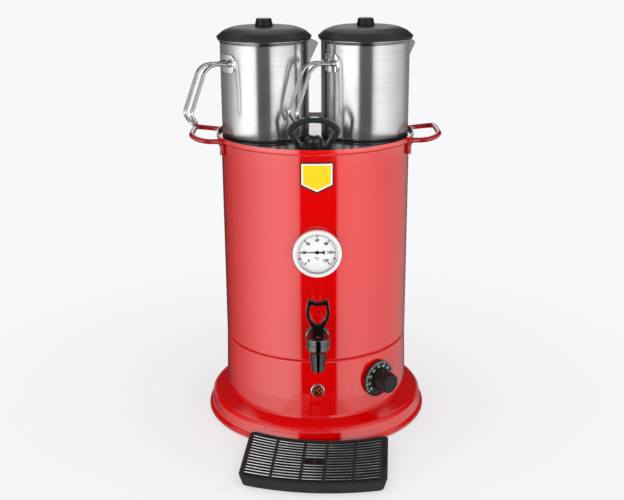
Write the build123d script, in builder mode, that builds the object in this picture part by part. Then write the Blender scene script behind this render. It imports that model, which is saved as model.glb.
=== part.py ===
"""Hot water urn with two teapots, a tap, a dial thermometer, a thermostat and a drip tray.

Millimetres, +Z up. The origin is on the urn's axis, on the surface that it stands on.
The tap, the thermometer and the lamp face -Y.
"""

import os
from math import cos, pi, radians, sin, sqrt, tan

from build123d import *

os.makedirs("parts", exist_ok=True)

# ---------------------------------------------------------------- clearances
gap = 0.3  # between pieces that can be taken apart
seat_gap = 0.1  # between pieces that are fixed together
run_fit = 0.06  # radial, a turning or sliding shaft in its hole
bolt_fit = 0.3  # radial, a fixed shank in its hole

# ---------------------------------------------------------------- painted body
paint_sheet = 1.0  # painted steel sheet
steel_sheet = 0.8  # stainless steel sheet
body_r = 150.0
seam_z = 136.4  # joint between the lower housing and the body
rim_z = 474.2  # top edge of the collar
collar_out = 7.6  # the collar stands out this far from the body
collar_depth = 9.2  # from the rim down to the underside of the ledge
collar_bend = 3.0  # centre line radius of the collar's lower corner
ledge_bend = 1.2  # centre line radius where the ledge leaves the body
seam_bend = 2.6  # rounding on both sides of the seam
seam_lip = 3.0  # flat of the body's bottom edge, turned in
shelf_width = 10.0  # flat of the lower housing's top edge, turned in

housing_out = 1.7  # the lower housing's foot stands out this far from the body
housing_foot_z = 37.9
housing_skirt_z = 70.0  # straight up to here, then drawn in to the body's radius

base_out = 32.2  # the base's flange stands out this far from the housing
base_edge_z = 2.0
base_flange_z = 5.0
base_wall_in = 6.1  # these three are measured in from the flange's edge
base_wall_z = 8.5
shoulder_in = 7.1
shoulder_z = 26.0
step_in = 11.4
step_z = 31.5
spigot_height = 10.0  # the base's collar inside the lower housing
base_bends = (0.6, 5.0, 4.0, 4.0, 1.6)

# ---------------------------------------------------------------- tank
tank_air = 5.0  # air gap between the tank and the body
tank_bottom_z = 145.0
tank_bend = 12.0
lining_drop = 1.0  # the tank's lining ends this far below the rim

# ---------------------------------------------------------------- floor plate and feet
plate_z = 9.0
plate_sheet = 1.2
plate_rim = 9.0
foot_r = 13.0
foot_inset = 43.9  # from the flange's edge
foot_angle = 45.0
foot_count = 4
foot_recess_r = 6.0
foot_recess = 4.0
foot_screw_r = 2.5
foot_screw_head_r = 4.5
foot_screw_head = 2.6
foot_nut_flat = 8.0
foot_nut = 4.0

# ---------------------------------------------------------------- side handles
rod_r = 4.0
leg_spread = 48.0  # half distance between a handle's legs
leg_drop = 29.7  # legs' feet below the rim
arm_drop = 8.4  # arms' roots below the rim
arm_corner = 17.0  # the arms start to bend this far inside the grip
arm_spread = 58.0
arm_rise = 2.0
grip_out = 45.0  # the grip stands out this far from the body
grip_spread = 36.0
grip_drop = 0.8
handle_bends = (9.0, 25.0, 25.0)

# ---------------------------------------------------------------- badge plate
badge_width = 50.0
badge_top_z = 454.5
badge_shoulder_z = 419.4
badge_point_z = 407.6
badge_thick = 0.8
badge_corner = 1.5

# ---------------------------------------------------------------- heating element
element_r = 4.0
element_ring_r = 92.0
element_z = 168.0
element_leg_x = 15.0
element_foot_z = 118.0
element_sides = 12
bush_r = 7.0
bush_flange_r = 10.5
bush_flange = 3.0
bush_drop = 10.0
element_seal = 1.5
element_nut_flat = 19.0
element_nut = 5.0

# ---------------------------------------------------------------- thermostat
stat_angle = 39.5  # round from the front towards +X
stat_z = 92.5
stat_body_r = 17.0
stat_body_depth = 20.0
stat_plate_width = 44.0
stat_plate_height = 26.0
stat_plate = 1.5
stat_shaft_r = 3.0
stat_neck_r = 5.0
stat_terminal = 6.0
well_x0 = 22.0  # the bulb's pocket under the tank
well_x1 = 92.0
well_y = -58.0
well_bore_r = 3.3
well_wall = 0.9
bulb_r = 3.1
capillary_r = 0.9
dial_r = 30.0
dial_standoff = 2.4
dial_edge = 2.6
dial_face_r = 26.5
dial_rise = 4.2
grip_end_r = 16.3
grip_root_r = 17.4
grip_length = 26.0
grip_sides = 8

# ---------------------------------------------------------------- other electrical pieces
cutout_r = 8.5
cutout_height = 9.0
cutout_y = -20.0
block_length = 46.0
block_width = 22.0
block_height = 18.0
block_y = 66.0
block_ways = 3
wire_r = 1.3
gland_z = 62.0
gland_r = 8.0
gland_flange_r = 11.0
gland_flange = 2.5
gland_nose = 16.0
gland_nose_r = 6.5
gland_bore_r = 4.0
gland_tail = 9.0

# ---------------------------------------------------------------- lamp
lamp_z = 87.8
lamp_barrel_r = 7.8
lamp_barrel = 16.0
lamp_bezel_r = 10.9
lamp_bezel = 2.6
lamp_lens_r = 8.4
lamp_lens_rise = 2.2
lamp_lens_stem_r = 6.4
lamp_nut_flat = 21.0
lamp_nut = 3.0

# ---------------------------------------------------------------- thermometer
gauge_z = 316.5
gauge_case_r = 33.6
gauge_case_depth = 10.5
gauge_wall = 1.2
gauge_back = 2.0
gauge_bezel_r = 36.75
gauge_bezel_depth = 8.0
gauge_bezel_lip = 2.2
gauge_window_r = 31.4
gauge_dial_r = 32.2
gauge_dial = 0.6
gauge_glass = 1.6
gauge_shank_r = 5.0
gauge_shank = 14.0
gauge_probe_r = 3.5
gauge_probe = 46.0
gauge_nut_flat = 17.0
gauge_nut = 5.0
pointer_thick = 0.7
pointer_tip = 26.5
pointer_tail = 11.5
pointer_hub_r = 2.9
pointer_root_half = 0.75
pointer_spindle_r = 0.9

# ---------------------------------------------------------------- tap
tap_y = -195.0
shank_z = 180.5
shank_r = 8.0
shank_bore_r = 4.5
shank_end_y = -132.0
rosette_r = 18.7
rosette = 5.5
spout_end_z = 142.0
spout_end_r = 9.8
spout_bore_r = 7.2
spout_top_z = 173.0
spout_top_r = 13.4
collar_r = 18.0
collar_foot_z = 177.0
collar_foot_r = 16.4
tap_split_z = 189.0
groove_width = 1.4  # between the body and the bonnet
groove_depth = 0.9
tap_seat_z = 175.5
seat_bore_r = 5.0
seat_lip = 3.0
chamber_r = 10.8
bonnet_top_z = 198.0
bonnet_plug_z = 187.0
bonnet_floor_z = 190.0
bonnet_round = 2.0
lever_width = 16.0
lever_slot = 6.6
lever_offset = 5.0  # the lever turns this far in front of the tap's axis
lever_boss_r = 4.0
lever_open = 35.0  # degrees
tap_pin_r = 1.5
link_pin_r = 1.2
stem_r = 2.5
stem_tang = 5.2
seat_cup_r = 8.4
seat_cup = 3.5
spring_r = 5.6
spring_wire_r = 0.5
spring_turns = 3.0
tap_nut_flat = 26.0
tap_nut = 6.0
tap_seal_r = 14.0
tap_seal = 2.0
neck_top_z = 210.5
loop_thick = 8.0
loop_top_z = 258.4
loop_half = 18.5
loop_window_half = 12.9
loop_front = 2.0  # the loop's middle stands this far in front of the tap's axis

# ---------------------------------------------------------------- urn lid
lid_sheet = 1.0
deck_side_gap = 1.1
pot_x = 78.6
pot_y = -9.0
upstand_height = 3.0
upstand_sheet = 1.0
plug_slack = 1.0
lid_handle_x = -4.0
lid_handle_y = -111.0
lid_arch_half = 40.3
lid_arch_rise = 46.3
lid_arch_thick = 8.0  # at the top
lid_arch_side = 11.8  # at the sides
lid_arch_waist = 24.5  # above the deck, where the arch is widest
lid_arch_foot_half = 27.0
lid_window_foot_half = 17.5
lid_arch_bend = 4.0
lid_arch_round = 2.4
lid_arch_depth = 13.0
lid_base_half = 28.3
lid_base_depth = 20.0
lid_base = 3.6
lid_boss_r = 13.5
lid_boss_height = 19.5
lid_boss_round = 9.0
lid_screw_x = 20.0
lid_screw_r = 2.0
lid_screw_head_r = 4.0
lid_screw_head = 2.2
lid_screw_length = 9.0

# ---------------------------------------------------------------- pots
pot_r = 69.0
plug_inset = 7.0  # the plug is this much smaller in radius than the pot
plug_depth = 11.5
pot_height = 149.7
pot_flare_out = 2.3  # the rim's bead stands out this far from the wall
pot_flare = 5.0
pot_bead_r = 1.3
pot_handle_angle = 52.5  # round from the front towards -X
bracket_width = 35.0
bracket_height = 27.0
bracket_thick = 2.4
bracket_corner = 9.0
bracket_drop = 34.5  # centre below the pot's rim
socket_r = 5.2
socket_length = 8.0
pot_rod_r = 2.8
pot_rod_spread = 9.4
pot_rod_bends = (20.0, 26.0, 12.0, 8.5)
socket_run = 11.5  # handle points, out from the pot's wall and below the bracket's middle
elbow_reach = 43.0
elbow_rise = 3.0
knee_reach = 74.5
knee_drop = 69.5
end_reach = 62.0
end_drop = 86.0
spout_reach = 38.2
spout_drop = 16.8
spout_length = 77.0
spout_lip = 3.5
spout_half = 24.0
spout_sheet = 0.9
passage_drop = 11.0

lid_bead_r = 1.6
lid_bead_out = 3.2  # the lid's bead stands out this far from the pot's wall
pot_lid_sheet = 0.9
dome_knee_in = 8.2  # dome points, in from the bead and up from its middle
dome_knee = 8.3
dome_shoulder_in = 22.2
dome_shoulder = 14.2
dome_height = 15.8
dome_bends = (12.0, 40.0)
locating_ring_in = 2.1  # from the pot's wall
locating_ring = 8.0
knob_root_r = 13.9
knob_top_r = 11.6
knob_height = 11.2
knob_foot = 1.6
knob_round = 1.6
knob_screw_r = 2.0
knob_screw_depth = 7.0
knob_screw_head_r = 4.0
knob_screw_head = 2.0

# ---------------------------------------------------------------- drip tray
tray_x = -6.1
tray_clear = 0.15  # from the base's flange to the middle of the tray's back edge
tray_turn = -5.3  # degrees, as it has been set down
tray_half = 109.75
tray_height = 16.5
tray_arc_r = 235.0  # hollow back edge; the front and the slats share its centre
tray_back = 62.4
tray_front = 69.4
tray_back_corner = 8.0
tray_front_corner = 13.0
tray_draft = 16.0  # degrees
tray_wall = 2.4
tray_floor = 2.2
tray_rim = 3.2
tray_ledge = 3.5
grille_thick = 3.0
slat = 3.1
slat_pitch = 8.0
slot_rows = 15
column_edges = (-104.2, -62.2, -18.2, 16.2, 59.5, 100.8)  # middles of the ribs
rib = 4.6
grille_margin = 2.3
finger_rows = (6, 7, 8)  # these rows of slots give way to the finger holes
finger_bridge = 3.6
finger_width = 31.0
finger_corner = 8.0
notch_length = 50.0
notch_depth = 4.2
notch_v = 5.0

# ---------------------------------------------------------------- derived places
housing_r = body_r + housing_out
base_r = housing_r + base_out
base_wall_r = base_r - base_wall_in
shoulder_r = base_r - shoulder_in
step_r = base_r - step_in
foot_ring_r = base_r - foot_inset
grip_reach = body_r + grip_out
arm_reach = grip_reach - arm_corner
leg_foot_z = rim_z - leg_drop
arm_z = rim_z - arm_drop
grip_z = rim_z - grip_drop
plug_r = pot_r - plug_inset
pot_flare_r = pot_r + pot_flare_out
lid_bead_ring_r = pot_r + lid_bead_out
dome_knee_r = lid_bead_ring_r - dome_knee_in
dome_shoulder_r = lid_bead_ring_r - dome_shoulder_in
locating_ring_r = pot_r - locating_ring_in
ledge_z = rim_z - collar_depth
jacket_mid_r = body_r - paint_sheet / 2
collar_r_out = body_r + collar_out
tank_r = body_r - paint_sheet - tank_air
tank_inner_r = tank_r - steel_sheet
flange_z = ledge_z + paint_sheet + seat_gap
deck_z = flange_z + steel_sheet + gap + lid_sheet
lining_r = collar_r_out - paint_sheet - seat_gap
deck_r = lining_r - steel_sheet - deck_side_gap
hole_r = plug_r + plug_slack
upstand_z = deck_z + upstand_height
pot_shoulder_z = upstand_z + gap
pot_floor_z = pot_shoulder_z - plug_depth
pot_rim_z = pot_shoulder_z + pot_height
tank_floor_top_z = tank_bottom_z + steel_sheet
pot_places = {"left": -pot_x, "right": pot_x}


def wall_plane(angle, distance, height):
    """Plane that faces out of the urn: x to the right, y up, angle round from the front towards +X."""
    turn = radians(angle)
    across = (cos(turn), sin(turn), 0)
    outward = (sin(turn), -cos(turn), 0)
    origin = (distance * outward[0], distance * outward[1], height)
    return Plane(origin=origin, x_dir=across, z_dir=outward)


def housing_radius(height):
    """Outer radius of the lower housing at a height."""
    share = max(0.0, height - housing_skirt_z) / (seam_z - housing_skirt_z)
    return housing_r + (body_r - housing_r) * share


# ================================================================ painted shells
with BuildPart() as base_ring:
    spigot_r = housing_r - paint_sheet - seat_gap - paint_sheet / 2
    with BuildSketch(Plane.XZ):
        with BuildLine():
            FilletPolyline(
                (spigot_r, housing_foot_z + spigot_height),
                (spigot_r, housing_foot_z - 0.4),
                (step_r, step_z),
                (shoulder_r, shoulder_z),
                (base_wall_r, base_wall_z),
                (base_r - paint_sheet / 2, base_flange_z),
                (base_r - paint_sheet / 2, base_edge_z),
                radius=base_bends,
            )
        trace(line_width=paint_sheet)
    revolve(axis=Axis.Z)

with BuildPart() as lower_housing:
    shelf_mid_z = seam_z - paint_sheet / 2 - seat_gap / 2
    with BuildSketch(Plane.XZ):
        with BuildLine():
            FilletPolyline(
                (housing_r - paint_sheet / 2, housing_foot_z),
                (housing_r - paint_sheet / 2, housing_skirt_z),
                (jacket_mid_r, shelf_mid_z),
                (jacket_mid_r - shelf_width, shelf_mid_z),
                radius=(30.0, seam_bend),
            )
        trace(line_width=paint_sheet)
    revolve(axis=Axis.Z)
    with BuildSketch(wall_plane(0, tank_r, lamp_z)):
        Circle(lamp_barrel_r + bolt_fit)
    extrude(amount=tank_air + 10, mode=Mode.SUBTRACT)
    with BuildSketch(wall_plane(stat_angle, tank_r, stat_z)):
        Circle(stat_neck_r + bolt_fit)
    extrude(amount=tank_air + 10, mode=Mode.SUBTRACT)
    with BuildSketch(wall_plane(180, tank_r, gland_z)):
        Circle(gland_r + bolt_fit)
    extrude(amount=tank_air + 10, mode=Mode.SUBTRACT)

with BuildPart() as body_jacket:
    lip_mid_z = seam_z + paint_sheet / 2 + seat_gap / 2
    collar_mid_r = collar_r_out - paint_sheet / 2
    with BuildSketch(Plane.XZ):
        with BuildLine():
            FilletPolyline(
                (jacket_mid_r - seam_lip, lip_mid_z),
                (jacket_mid_r, lip_mid_z),
                (jacket_mid_r, ledge_z + paint_sheet / 2),
                (collar_mid_r, ledge_z + paint_sheet / 2),
                (collar_mid_r, rim_z),
                radius=(seam_bend, ledge_bend, collar_bend),
            )
        trace(line_width=paint_sheet)
    revolve(axis=Axis.Z)
    with BuildSketch(wall_plane(0, tank_r, shank_z)):
        Circle(shank_r + bolt_fit)
    extrude(amount=tank_air + 10, mode=Mode.SUBTRACT)
    with BuildSketch(wall_plane(0, tank_r, gauge_z)):
        Circle(gauge_shank_r + bolt_fit)
    extrude(amount=tank_air + 10, mode=Mode.SUBTRACT)

# Space that the body takes up, with the clearance that its welded pieces keep.
with BuildPart() as body_envelope:
    with BuildSketch(Plane.XZ):
        with BuildLine():
            Polyline(
                (0, seam_z),
                (body_r + seat_gap, seam_z),
                (body_r + seat_gap, ledge_z - seat_gap - ledge_bend),
                (body_r + seat_gap + ledge_bend, ledge_z - seat_gap),
                (collar_r_out + seat_gap - collar_bend, ledge_z - seat_gap),
            )
            JernArc(
                start=(collar_r_out + seat_gap - collar_bend, ledge_z - seat_gap),
                tangent=(1, 0),
                radius=collar_bend,
                arc_size=90,
            )
            Polyline(
                (collar_r_out + seat_gap, ledge_z - seat_gap + collar_bend),
                (collar_r_out + seat_gap, rim_z + 5),
                (0, rim_z + 5),
                (0, seam_z),
            )
        make_face()
    revolve(axis=Axis.Z)

with BuildPart() as side_handle_right:
    leg_x = sqrt((body_r + rod_r - 0.5) ** 2 - leg_spread**2)
    with BuildLine():
        path = FilletPolyline(
            (leg_x, -leg_spread, leg_foot_z),
            (leg_x, -leg_spread, arm_z),
            (arm_reach, -arm_spread, arm_z + arm_rise),
            (grip_reach, -grip_spread, grip_z),
            (grip_reach, grip_spread, grip_z),
            (arm_reach, arm_spread, arm_z + arm_rise),
            (leg_x, leg_spread, arm_z),
            (leg_x, leg_spread, leg_foot_z),
            radius=(*handle_bends, *reversed(handle_bends)),
        )
    with BuildSketch(Plane(origin=path @ 0, z_dir=path % 0)):
        Circle(rod_r)
    sweep()
    add(body_envelope.part, mode=Mode.SUBTRACT)

with BuildPart() as side_handle_left:
    mirror(side_handle_right.part, about=Plane.YZ)

with BuildPart() as badge_plate:
    with BuildSketch(wall_plane(0, tank_r, 0)) as shield:
        with BuildLine():
            Polyline(
                (-badge_width / 2, badge_top_z),
                (badge_width / 2, badge_top_z),
                (badge_width / 2, badge_shoulder_z),
                (0, badge_point_z),
                (-badge_width / 2, badge_shoulder_z),
                close=True,
            )
        make_face()
        fillet(shield.vertices(), badge_corner)
    extrude(amount=tank_air + 10)
    with BuildSketch(Plane.XY.offset(badge_point_z - 5)):
        Circle(body_r + seat_gap + badge_thick)
        Circle(body_r + seat_gap, mode=Mode.SUBTRACT)
    extrude(amount=badge_top_z - badge_point_z + 10, mode=Mode.INTERSECT)

# ================================================================ floor plate and feet
foot_places = PolarLocations(foot_ring_r, foot_count, start_angle=foot_angle)

with BuildPart() as bottom_plate:
    plate_r = base_wall_r - paint_sheet - seat_gap - plate_sheet / 2
    with BuildSketch(Plane.XZ):
        with BuildLine():
            FilletPolyline(
                (0, plate_z + plate_sheet / 2),
                (plate_r, plate_z + plate_sheet / 2),
                (plate_r - plate_rim * (base_wall_r - shoulder_r) / (shoulder_z - base_wall_z),
                 plate_z + plate_sheet / 2 + plate_rim),
                radius=3.0,
            )
        trace(line_width=plate_sheet)
    revolve(axis=Axis.Z)
    with BuildSketch(Plane.XY):
        with foot_places:
            Circle(foot_screw_r + bolt_fit)
    extrude(amount=shoulder_z, mode=Mode.SUBTRACT)

with BuildPart() as rubber_feet:
    with BuildSketch(Plane.XY):
        with foot_places:
            Circle(foot_r)
    extrude(amount=plate_z - seat_gap)
    chamfer(rubber_feet.edges().group_by(Axis.Z)[0], 1.0)
    with BuildSketch(Plane.XY):
        with foot_places:
            Circle(foot_recess_r)
    extrude(amount=foot_recess, mode=Mode.SUBTRACT)
    with BuildSketch(Plane.XY):
        with foot_places:
            Circle(foot_screw_r + seat_gap)
    extrude(amount=plate_z, mode=Mode.SUBTRACT)

with BuildPart() as foot_screws:
    screw_top_z = plate_z + plate_sheet + seat_gap + foot_nut + 1.0
    with BuildSketch(Plane.XY.offset(foot_recess - seat_gap - foot_screw_head)):
        with foot_places:
            Circle(foot_screw_head_r)
    extrude(amount=foot_screw_head)
    with BuildSketch(Plane.XY.offset(foot_recess - seat_gap)):
        with foot_places:
            Circle(foot_screw_r)
    extrude(amount=screw_top_z - foot_recess + seat_gap)
    with BuildSketch(Plane.XY.offset(plate_z + plate_sheet + seat_gap)):
        with foot_places:
            RegularPolygon(foot_nut_flat / 2, 6, major_radius=False)
    extrude(amount=foot_nut)

# ================================================================ tank
with BuildPart() as tank:
    lining_mid_r = lining_r - steel_sheet / 2
    flange_mid_z = flange_z + steel_sheet / 2
    with BuildSketch(Plane.XZ):
        with BuildLine():
            FilletPolyline(
                (0, tank_bottom_z + steel_sheet / 2),
                (tank_r - steel_sheet / 2, tank_bottom_z + steel_sheet / 2),
                (tank_r - steel_sheet / 2, flange_mid_z),
                (lining_mid_r, flange_mid_z),
                (lining_mid_r, rim_z - lining_drop),
                radius=(tank_bend, 0.9, collar_bend - paint_sheet / 2 - seat_gap - steel_sheet / 2),
            )
        trace(line_width=steel_sheet)
    revolve(axis=Axis.Z)
    well_z = tank_bottom_z - well_bore_r - well_wall / 2
    with BuildSketch(Plane.YZ.offset(well_x0)):
        with Locations((well_y, well_z)):
            Circle(well_bore_r + well_wall)
    extrude(amount=well_x1 - well_x0)
    with BuildSketch(Plane.YZ.offset(well_x0)):
        with Locations((well_y, well_z)):
            Circle(well_bore_r)
    extrude(amount=well_x1 - well_x0 - 2, mode=Mode.SUBTRACT)
    with BuildSketch(Plane.XY.offset(tank_bottom_z - 5)):
        with Locations((-element_leg_x, element_ring_r), (element_leg_x, element_ring_r)):
            Circle(bush_r + bolt_fit)
    extrude(amount=10, mode=Mode.SUBTRACT)
    with BuildSketch(wall_plane(0, tank_r - 20, shank_z)):
        Circle(shank_r + bolt_fit)
    extrude(amount=25, mode=Mode.SUBTRACT)
    with BuildSketch(wall_plane(0, tank_r - 20, gauge_z)):
        Circle(gauge_shank_r + bolt_fit)
    extrude(amount=25, mode=Mode.SUBTRACT)

# ================================================================ heating element
with BuildPart() as heating_element:
    start = 90 - 360 / element_sides
    ring = []
    for corner in range(element_sides - 1):
        turn = radians(start - corner * 360 / element_sides)
        ring.append((element_ring_r * cos(turn), element_ring_r * sin(turn), element_z))
    leg_bend = 0.8 * (ring[0][0] - element_leg_x) / 2
    ring_bend = 0.9 * element_ring_r * cos(pi / element_sides)
    with BuildLine():
        path = FilletPolyline(
            (element_leg_x, element_ring_r, element_foot_z),
            (element_leg_x, element_ring_r, element_z),
            *ring,
            (-element_leg_x, element_ring_r, element_z),
            (-element_leg_x, element_ring_r, element_foot_z),
            radius=(leg_bend, 20, *([ring_bend] * (element_sides - 3)), 20, leg_bend),
        )
    with BuildSketch(Plane(origin=path @ 0, z_dir=path % 0)):
        Circle(element_r)
    sweep()
    with BuildSketch(Plane.XY.offset(tank_floor_top_z + element_seal + 2 * seat_gap)):
        with Locations((-element_leg_x, element_ring_r), (element_leg_x, element_ring_r)):
            Circle(bush_flange_r)
    extrude(amount=bush_flange)
    with BuildSketch(Plane.XY.offset(tank_bottom_z - bush_drop)):
        with Locations((-element_leg_x, element_ring_r), (element_leg_x, element_ring_r)):
            Circle(bush_r)
    extrude(amount=bush_drop + steel_sheet + element_seal + bush_flange)

with BuildPart() as element_seals:
    with BuildSketch(Plane.XY.offset(tank_floor_top_z + seat_gap)):
        with Locations((-element_leg_x, element_ring_r), (element_leg_x, element_ring_r)):
            Circle(bush_flange_r)
            Circle(bush_r + seat_gap, mode=Mode.SUBTRACT)
    extrude(amount=element_seal)

with BuildPart() as element_nuts:
    with BuildSketch(Plane.XY.offset(tank_bottom_z - seat_gap - element_nut)):
        with Locations((-element_leg_x, element_ring_r), (element_leg_x, element_ring_r)):
            RegularPolygon(element_nut_flat / 2, 6, major_radius=False)
            Circle(bush_r + seat_gap, mode=Mode.SUBTRACT)
    extrude(amount=element_nut)

# ================================================================ thermostat and its knob
stat_wall_r = housing_radius(stat_z + stat_plate_height / 2) - paint_sheet
stat_face = sqrt(stat_wall_r**2 - (stat_plate_width / 2) ** 2) - seat_gap
knob_back = housing_radius(stat_z) + dial_standoff

with BuildPart() as thermostat_body:
    with BuildSketch(wall_plane(stat_angle, stat_face, stat_z)):
        RectangleRounded(stat_plate_width, stat_plate_height, 3)
    extrude(amount=-stat_plate)
    with BuildSketch(wall_plane(stat_angle, stat_face - stat_plate, stat_z)):
        Circle(stat_body_r)
    extrude(amount=-stat_body_depth)
    with BuildSketch(wall_plane(stat_angle, stat_face, stat_z)):
        Circle(stat_neck_r)
    extrude(amount=housing_radius(stat_z) + 1 - stat_face)
    with BuildSketch(wall_plane(stat_angle, stat_face - stat_plate - stat_body_depth, stat_z)):
        with Locations((-stat_terminal, 0), (stat_terminal, 0)):
            Rectangle(0.8, 6.3)
    extrude(amount=-8)
    with BuildSketch(wall_plane(stat_angle, stat_face + 10, stat_z)):
        Circle(stat_shaft_r + run_fit)
    extrude(amount=-stat_body_depth, mode=Mode.SUBTRACT)

with BuildPart() as thermostat_shaft:
    shaft_root = stat_face - stat_body_depth / 2
    with BuildSketch(wall_plane(stat_angle, shaft_root, stat_z)):
        Circle(stat_shaft_r)
    extrude(amount=knob_back + dial_rise + grip_length - 8 - shaft_root)
    with BuildSketch(wall_plane(stat_angle, knob_back, stat_z)):
        with Locations((0, stat_shaft_r)):
            Rectangle(4 * stat_shaft_r, stat_shaft_r)
    extrude(amount=grip_length, mode=Mode.SUBTRACT)

with BuildPart() as thermostat_knob:
    with BuildSketch(wall_plane(stat_angle, knob_back, stat_z)):
        Circle(dial_r)
    extrude(amount=dial_edge)
    with BuildSketch(wall_plane(stat_angle, knob_back + dial_edge, stat_z)):
        Circle(dial_r - 0.3)
    with BuildSketch(wall_plane(stat_angle, knob_back + dial_rise, stat_z)):
        Circle(dial_face_r)
    loft()
    with BuildSketch(wall_plane(stat_angle, knob_back + dial_rise - 0.2, stat_z)):
        RegularPolygon(grip_root_r, grip_sides, rotation=180 / grip_sides)
    with BuildSketch(wall_plane(stat_angle, knob_back + dial_rise + grip_length, stat_z)):
        RegularPolygon(grip_end_r, grip_sides, rotation=180 / grip_sides)
    loft()
    knob_axis = Axis((0, 0, stat_z), wall_plane(stat_angle, 0, stat_z).z_dir)
    chamfer(thermostat_knob.faces().sort_by(knob_axis)[-1].edges(), 1.2)
    with BuildSketch(wall_plane(stat_angle, knob_back, stat_z)):
        Circle(stat_shaft_r + seat_gap)
        with Locations((0, stat_shaft_r + seat_gap)):
            Rectangle(4 * stat_shaft_r, stat_shaft_r, mode=Mode.SUBTRACT)
    extrude(amount=dial_rise + grip_length - 8 + seat_gap, mode=Mode.SUBTRACT)

with BuildPart() as thermostat_bulb:
    bulb_x1 = well_x1 - 2 - gap
    stat_out = wall_plane(stat_angle, 0, 0).z_dir
    stat_across = wall_plane(stat_angle, 0, 0).x_dir
    tail = stat_out * (stat_face - stat_plate - stat_body_depth - seat_gap) + stat_across * -12
    with BuildSketch(Plane.YZ.offset(well_x0 + 1)):
        with Locations((well_y, well_z)):
            Circle(bulb_r)
    extrude(amount=bulb_x1 - well_x0 - 1)
    with BuildLine():
        path = FilletPolyline(
            (well_x0 + 1, well_y, well_z),
            (well_x0 - 14, well_y, well_z),
            (well_x0 - 18, well_y - 10, well_z - 22),
            (tail.X - 34, tail.Y + 28, stat_z + 10),
            (tail.X - 12 * stat_out.X, tail.Y - 12 * stat_out.Y, stat_z + 4),
            (tail.X, tail.Y, stat_z + 4),
            radius=(6, 12, 12, 5),
        )
    with BuildSketch(Plane(origin=path @ 0, z_dir=path % 0)):
        Circle(capillary_r)
    sweep()

# ================================================================ other electrical pieces
with BuildPart() as safety_cutout:
    with BuildSketch(Plane.XY.offset(tank_bottom_z - seat_gap)):
        with Locations((0, cutout_y)):
            Circle(cutout_r)
    extrude(amount=-cutout_height)
    with BuildSketch(Plane.XY.offset(tank_bottom_z - seat_gap)):
        with Locations((0, cutout_y)):
            SlotOverall(3.4 * cutout_r, 10)
    extrude(amount=-1.0)
    with BuildSketch(Plane.XY.offset(tank_bottom_z - seat_gap - cutout_height)):
        with Locations((-4, cutout_y), (4, cutout_y)):
            Rectangle(0.8, 6.3)
    extrude(amount=-8)

with BuildPart() as terminal_block:
    block_z = plate_z + plate_sheet + seat_gap
    block_pitch = block_length / block_ways
    with BuildSketch(Plane.XY.offset(block_z)):
        with Locations((0, block_y)):
            Rectangle(block_length, block_width)
    extrude(amount=block_height)
    chamfer(terminal_block.edges().group_by(Axis.Z)[-1], 1.5)
    with BuildSketch(Plane.XY.offset(block_z + block_height)):
        with Locations((0, block_y)):
            with GridLocations(block_pitch, block_width / 2, block_ways, 2):
                Circle(3.0)
    extrude(amount=-6, mode=Mode.SUBTRACT)

with BuildPart() as wiring:
    block_top = block_z + block_height + seat_gap
    stat_back = stat_face - stat_plate - stat_body_depth - 8 - seat_gap
    stat_pin = stat_out * stat_back + stat_across * stat_terminal
    stat_low = stat_out * (stat_back - 14) + stat_across * stat_terminal
    wire_routes = [
        [
            (element_leg_x, element_ring_r, element_foot_z - seat_gap),
            (element_leg_x, element_ring_r, element_foot_z - 34),
            (block_pitch, block_y, block_top + 28),
            (block_pitch, block_y, block_top),
        ],
        [
            (-element_leg_x, element_ring_r, element_foot_z - seat_gap),
            (-element_leg_x, element_ring_r, element_foot_z - 34),
            (-block_pitch, block_y, block_top + 28),
            (-block_pitch, block_y, block_top),
        ],
        [
            (0, block_y, block_top),
            (0, block_y, block_top + 22),
            (26, 10, block_top + 18),
            (stat_low.X, stat_low.Y, stat_z),
            (stat_pin.X, stat_pin.Y, stat_z),
        ],
    ]
    for route in wire_routes:
        with BuildLine():
            path = FilletPolyline(*route, radius=6.5)
        with BuildSketch(Plane(origin=path @ 0, z_dir=path % 0)):
            Circle(wire_r)
        sweep()

with BuildPart() as cable_gland:
    gland_wall = housing_radius(gland_z)
    with BuildSketch(wall_plane(180, gland_wall + seat_gap, gland_z)):
        Circle(gland_flange_r)
    extrude(amount=gland_flange)
    with BuildSketch(wall_plane(180, gland_wall + gland_flange, gland_z)):
        Circle(gland_nose_r + 2)
    with BuildSketch(wall_plane(180, gland_wall + gland_flange + gland_nose, gland_z)):
        Circle(gland_nose_r)
    loft()
    with BuildSketch(wall_plane(180, gland_wall + seat_gap + 1, gland_z)):
        Circle(gland_r)
    extrude(amount=-gland_tail)
    with BuildSketch(wall_plane(180, gland_wall - gland_tail - 5, gland_z)):
        Circle(gland_bore_r)
    extrude(amount=gland_tail + gland_flange + gland_nose + 10, mode=Mode.SUBTRACT)

# ================================================================ lamp
lamp_face = housing_radius(lamp_z - lamp_bezel_r) + seat_gap

with BuildPart() as lamp_surround:
    with BuildSketch(wall_plane(0, lamp_face, lamp_z)):
        Circle(lamp_bezel_r)
    extrude(amount=lamp_bezel)
    fillet(lamp_surround.edges().sort_by(Axis.Y)[0], 1.6)
    with BuildSketch(wall_plane(0, lamp_face + 1, lamp_z)):
        Circle(lamp_barrel_r)
    extrude(amount=-lamp_barrel)
    with BuildSketch(wall_plane(0, lamp_face + lamp_bezel, lamp_z)):
        Circle(lamp_lens_r + seat_gap)
    extrude(amount=-lamp_bezel + 0.8, mode=Mode.SUBTRACT)
    with BuildSketch(wall_plane(0, lamp_face + lamp_bezel, lamp_z)):
        Circle(lamp_lens_stem_r + seat_gap)
    extrude(amount=-lamp_barrel, mode=Mode.SUBTRACT)

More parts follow.
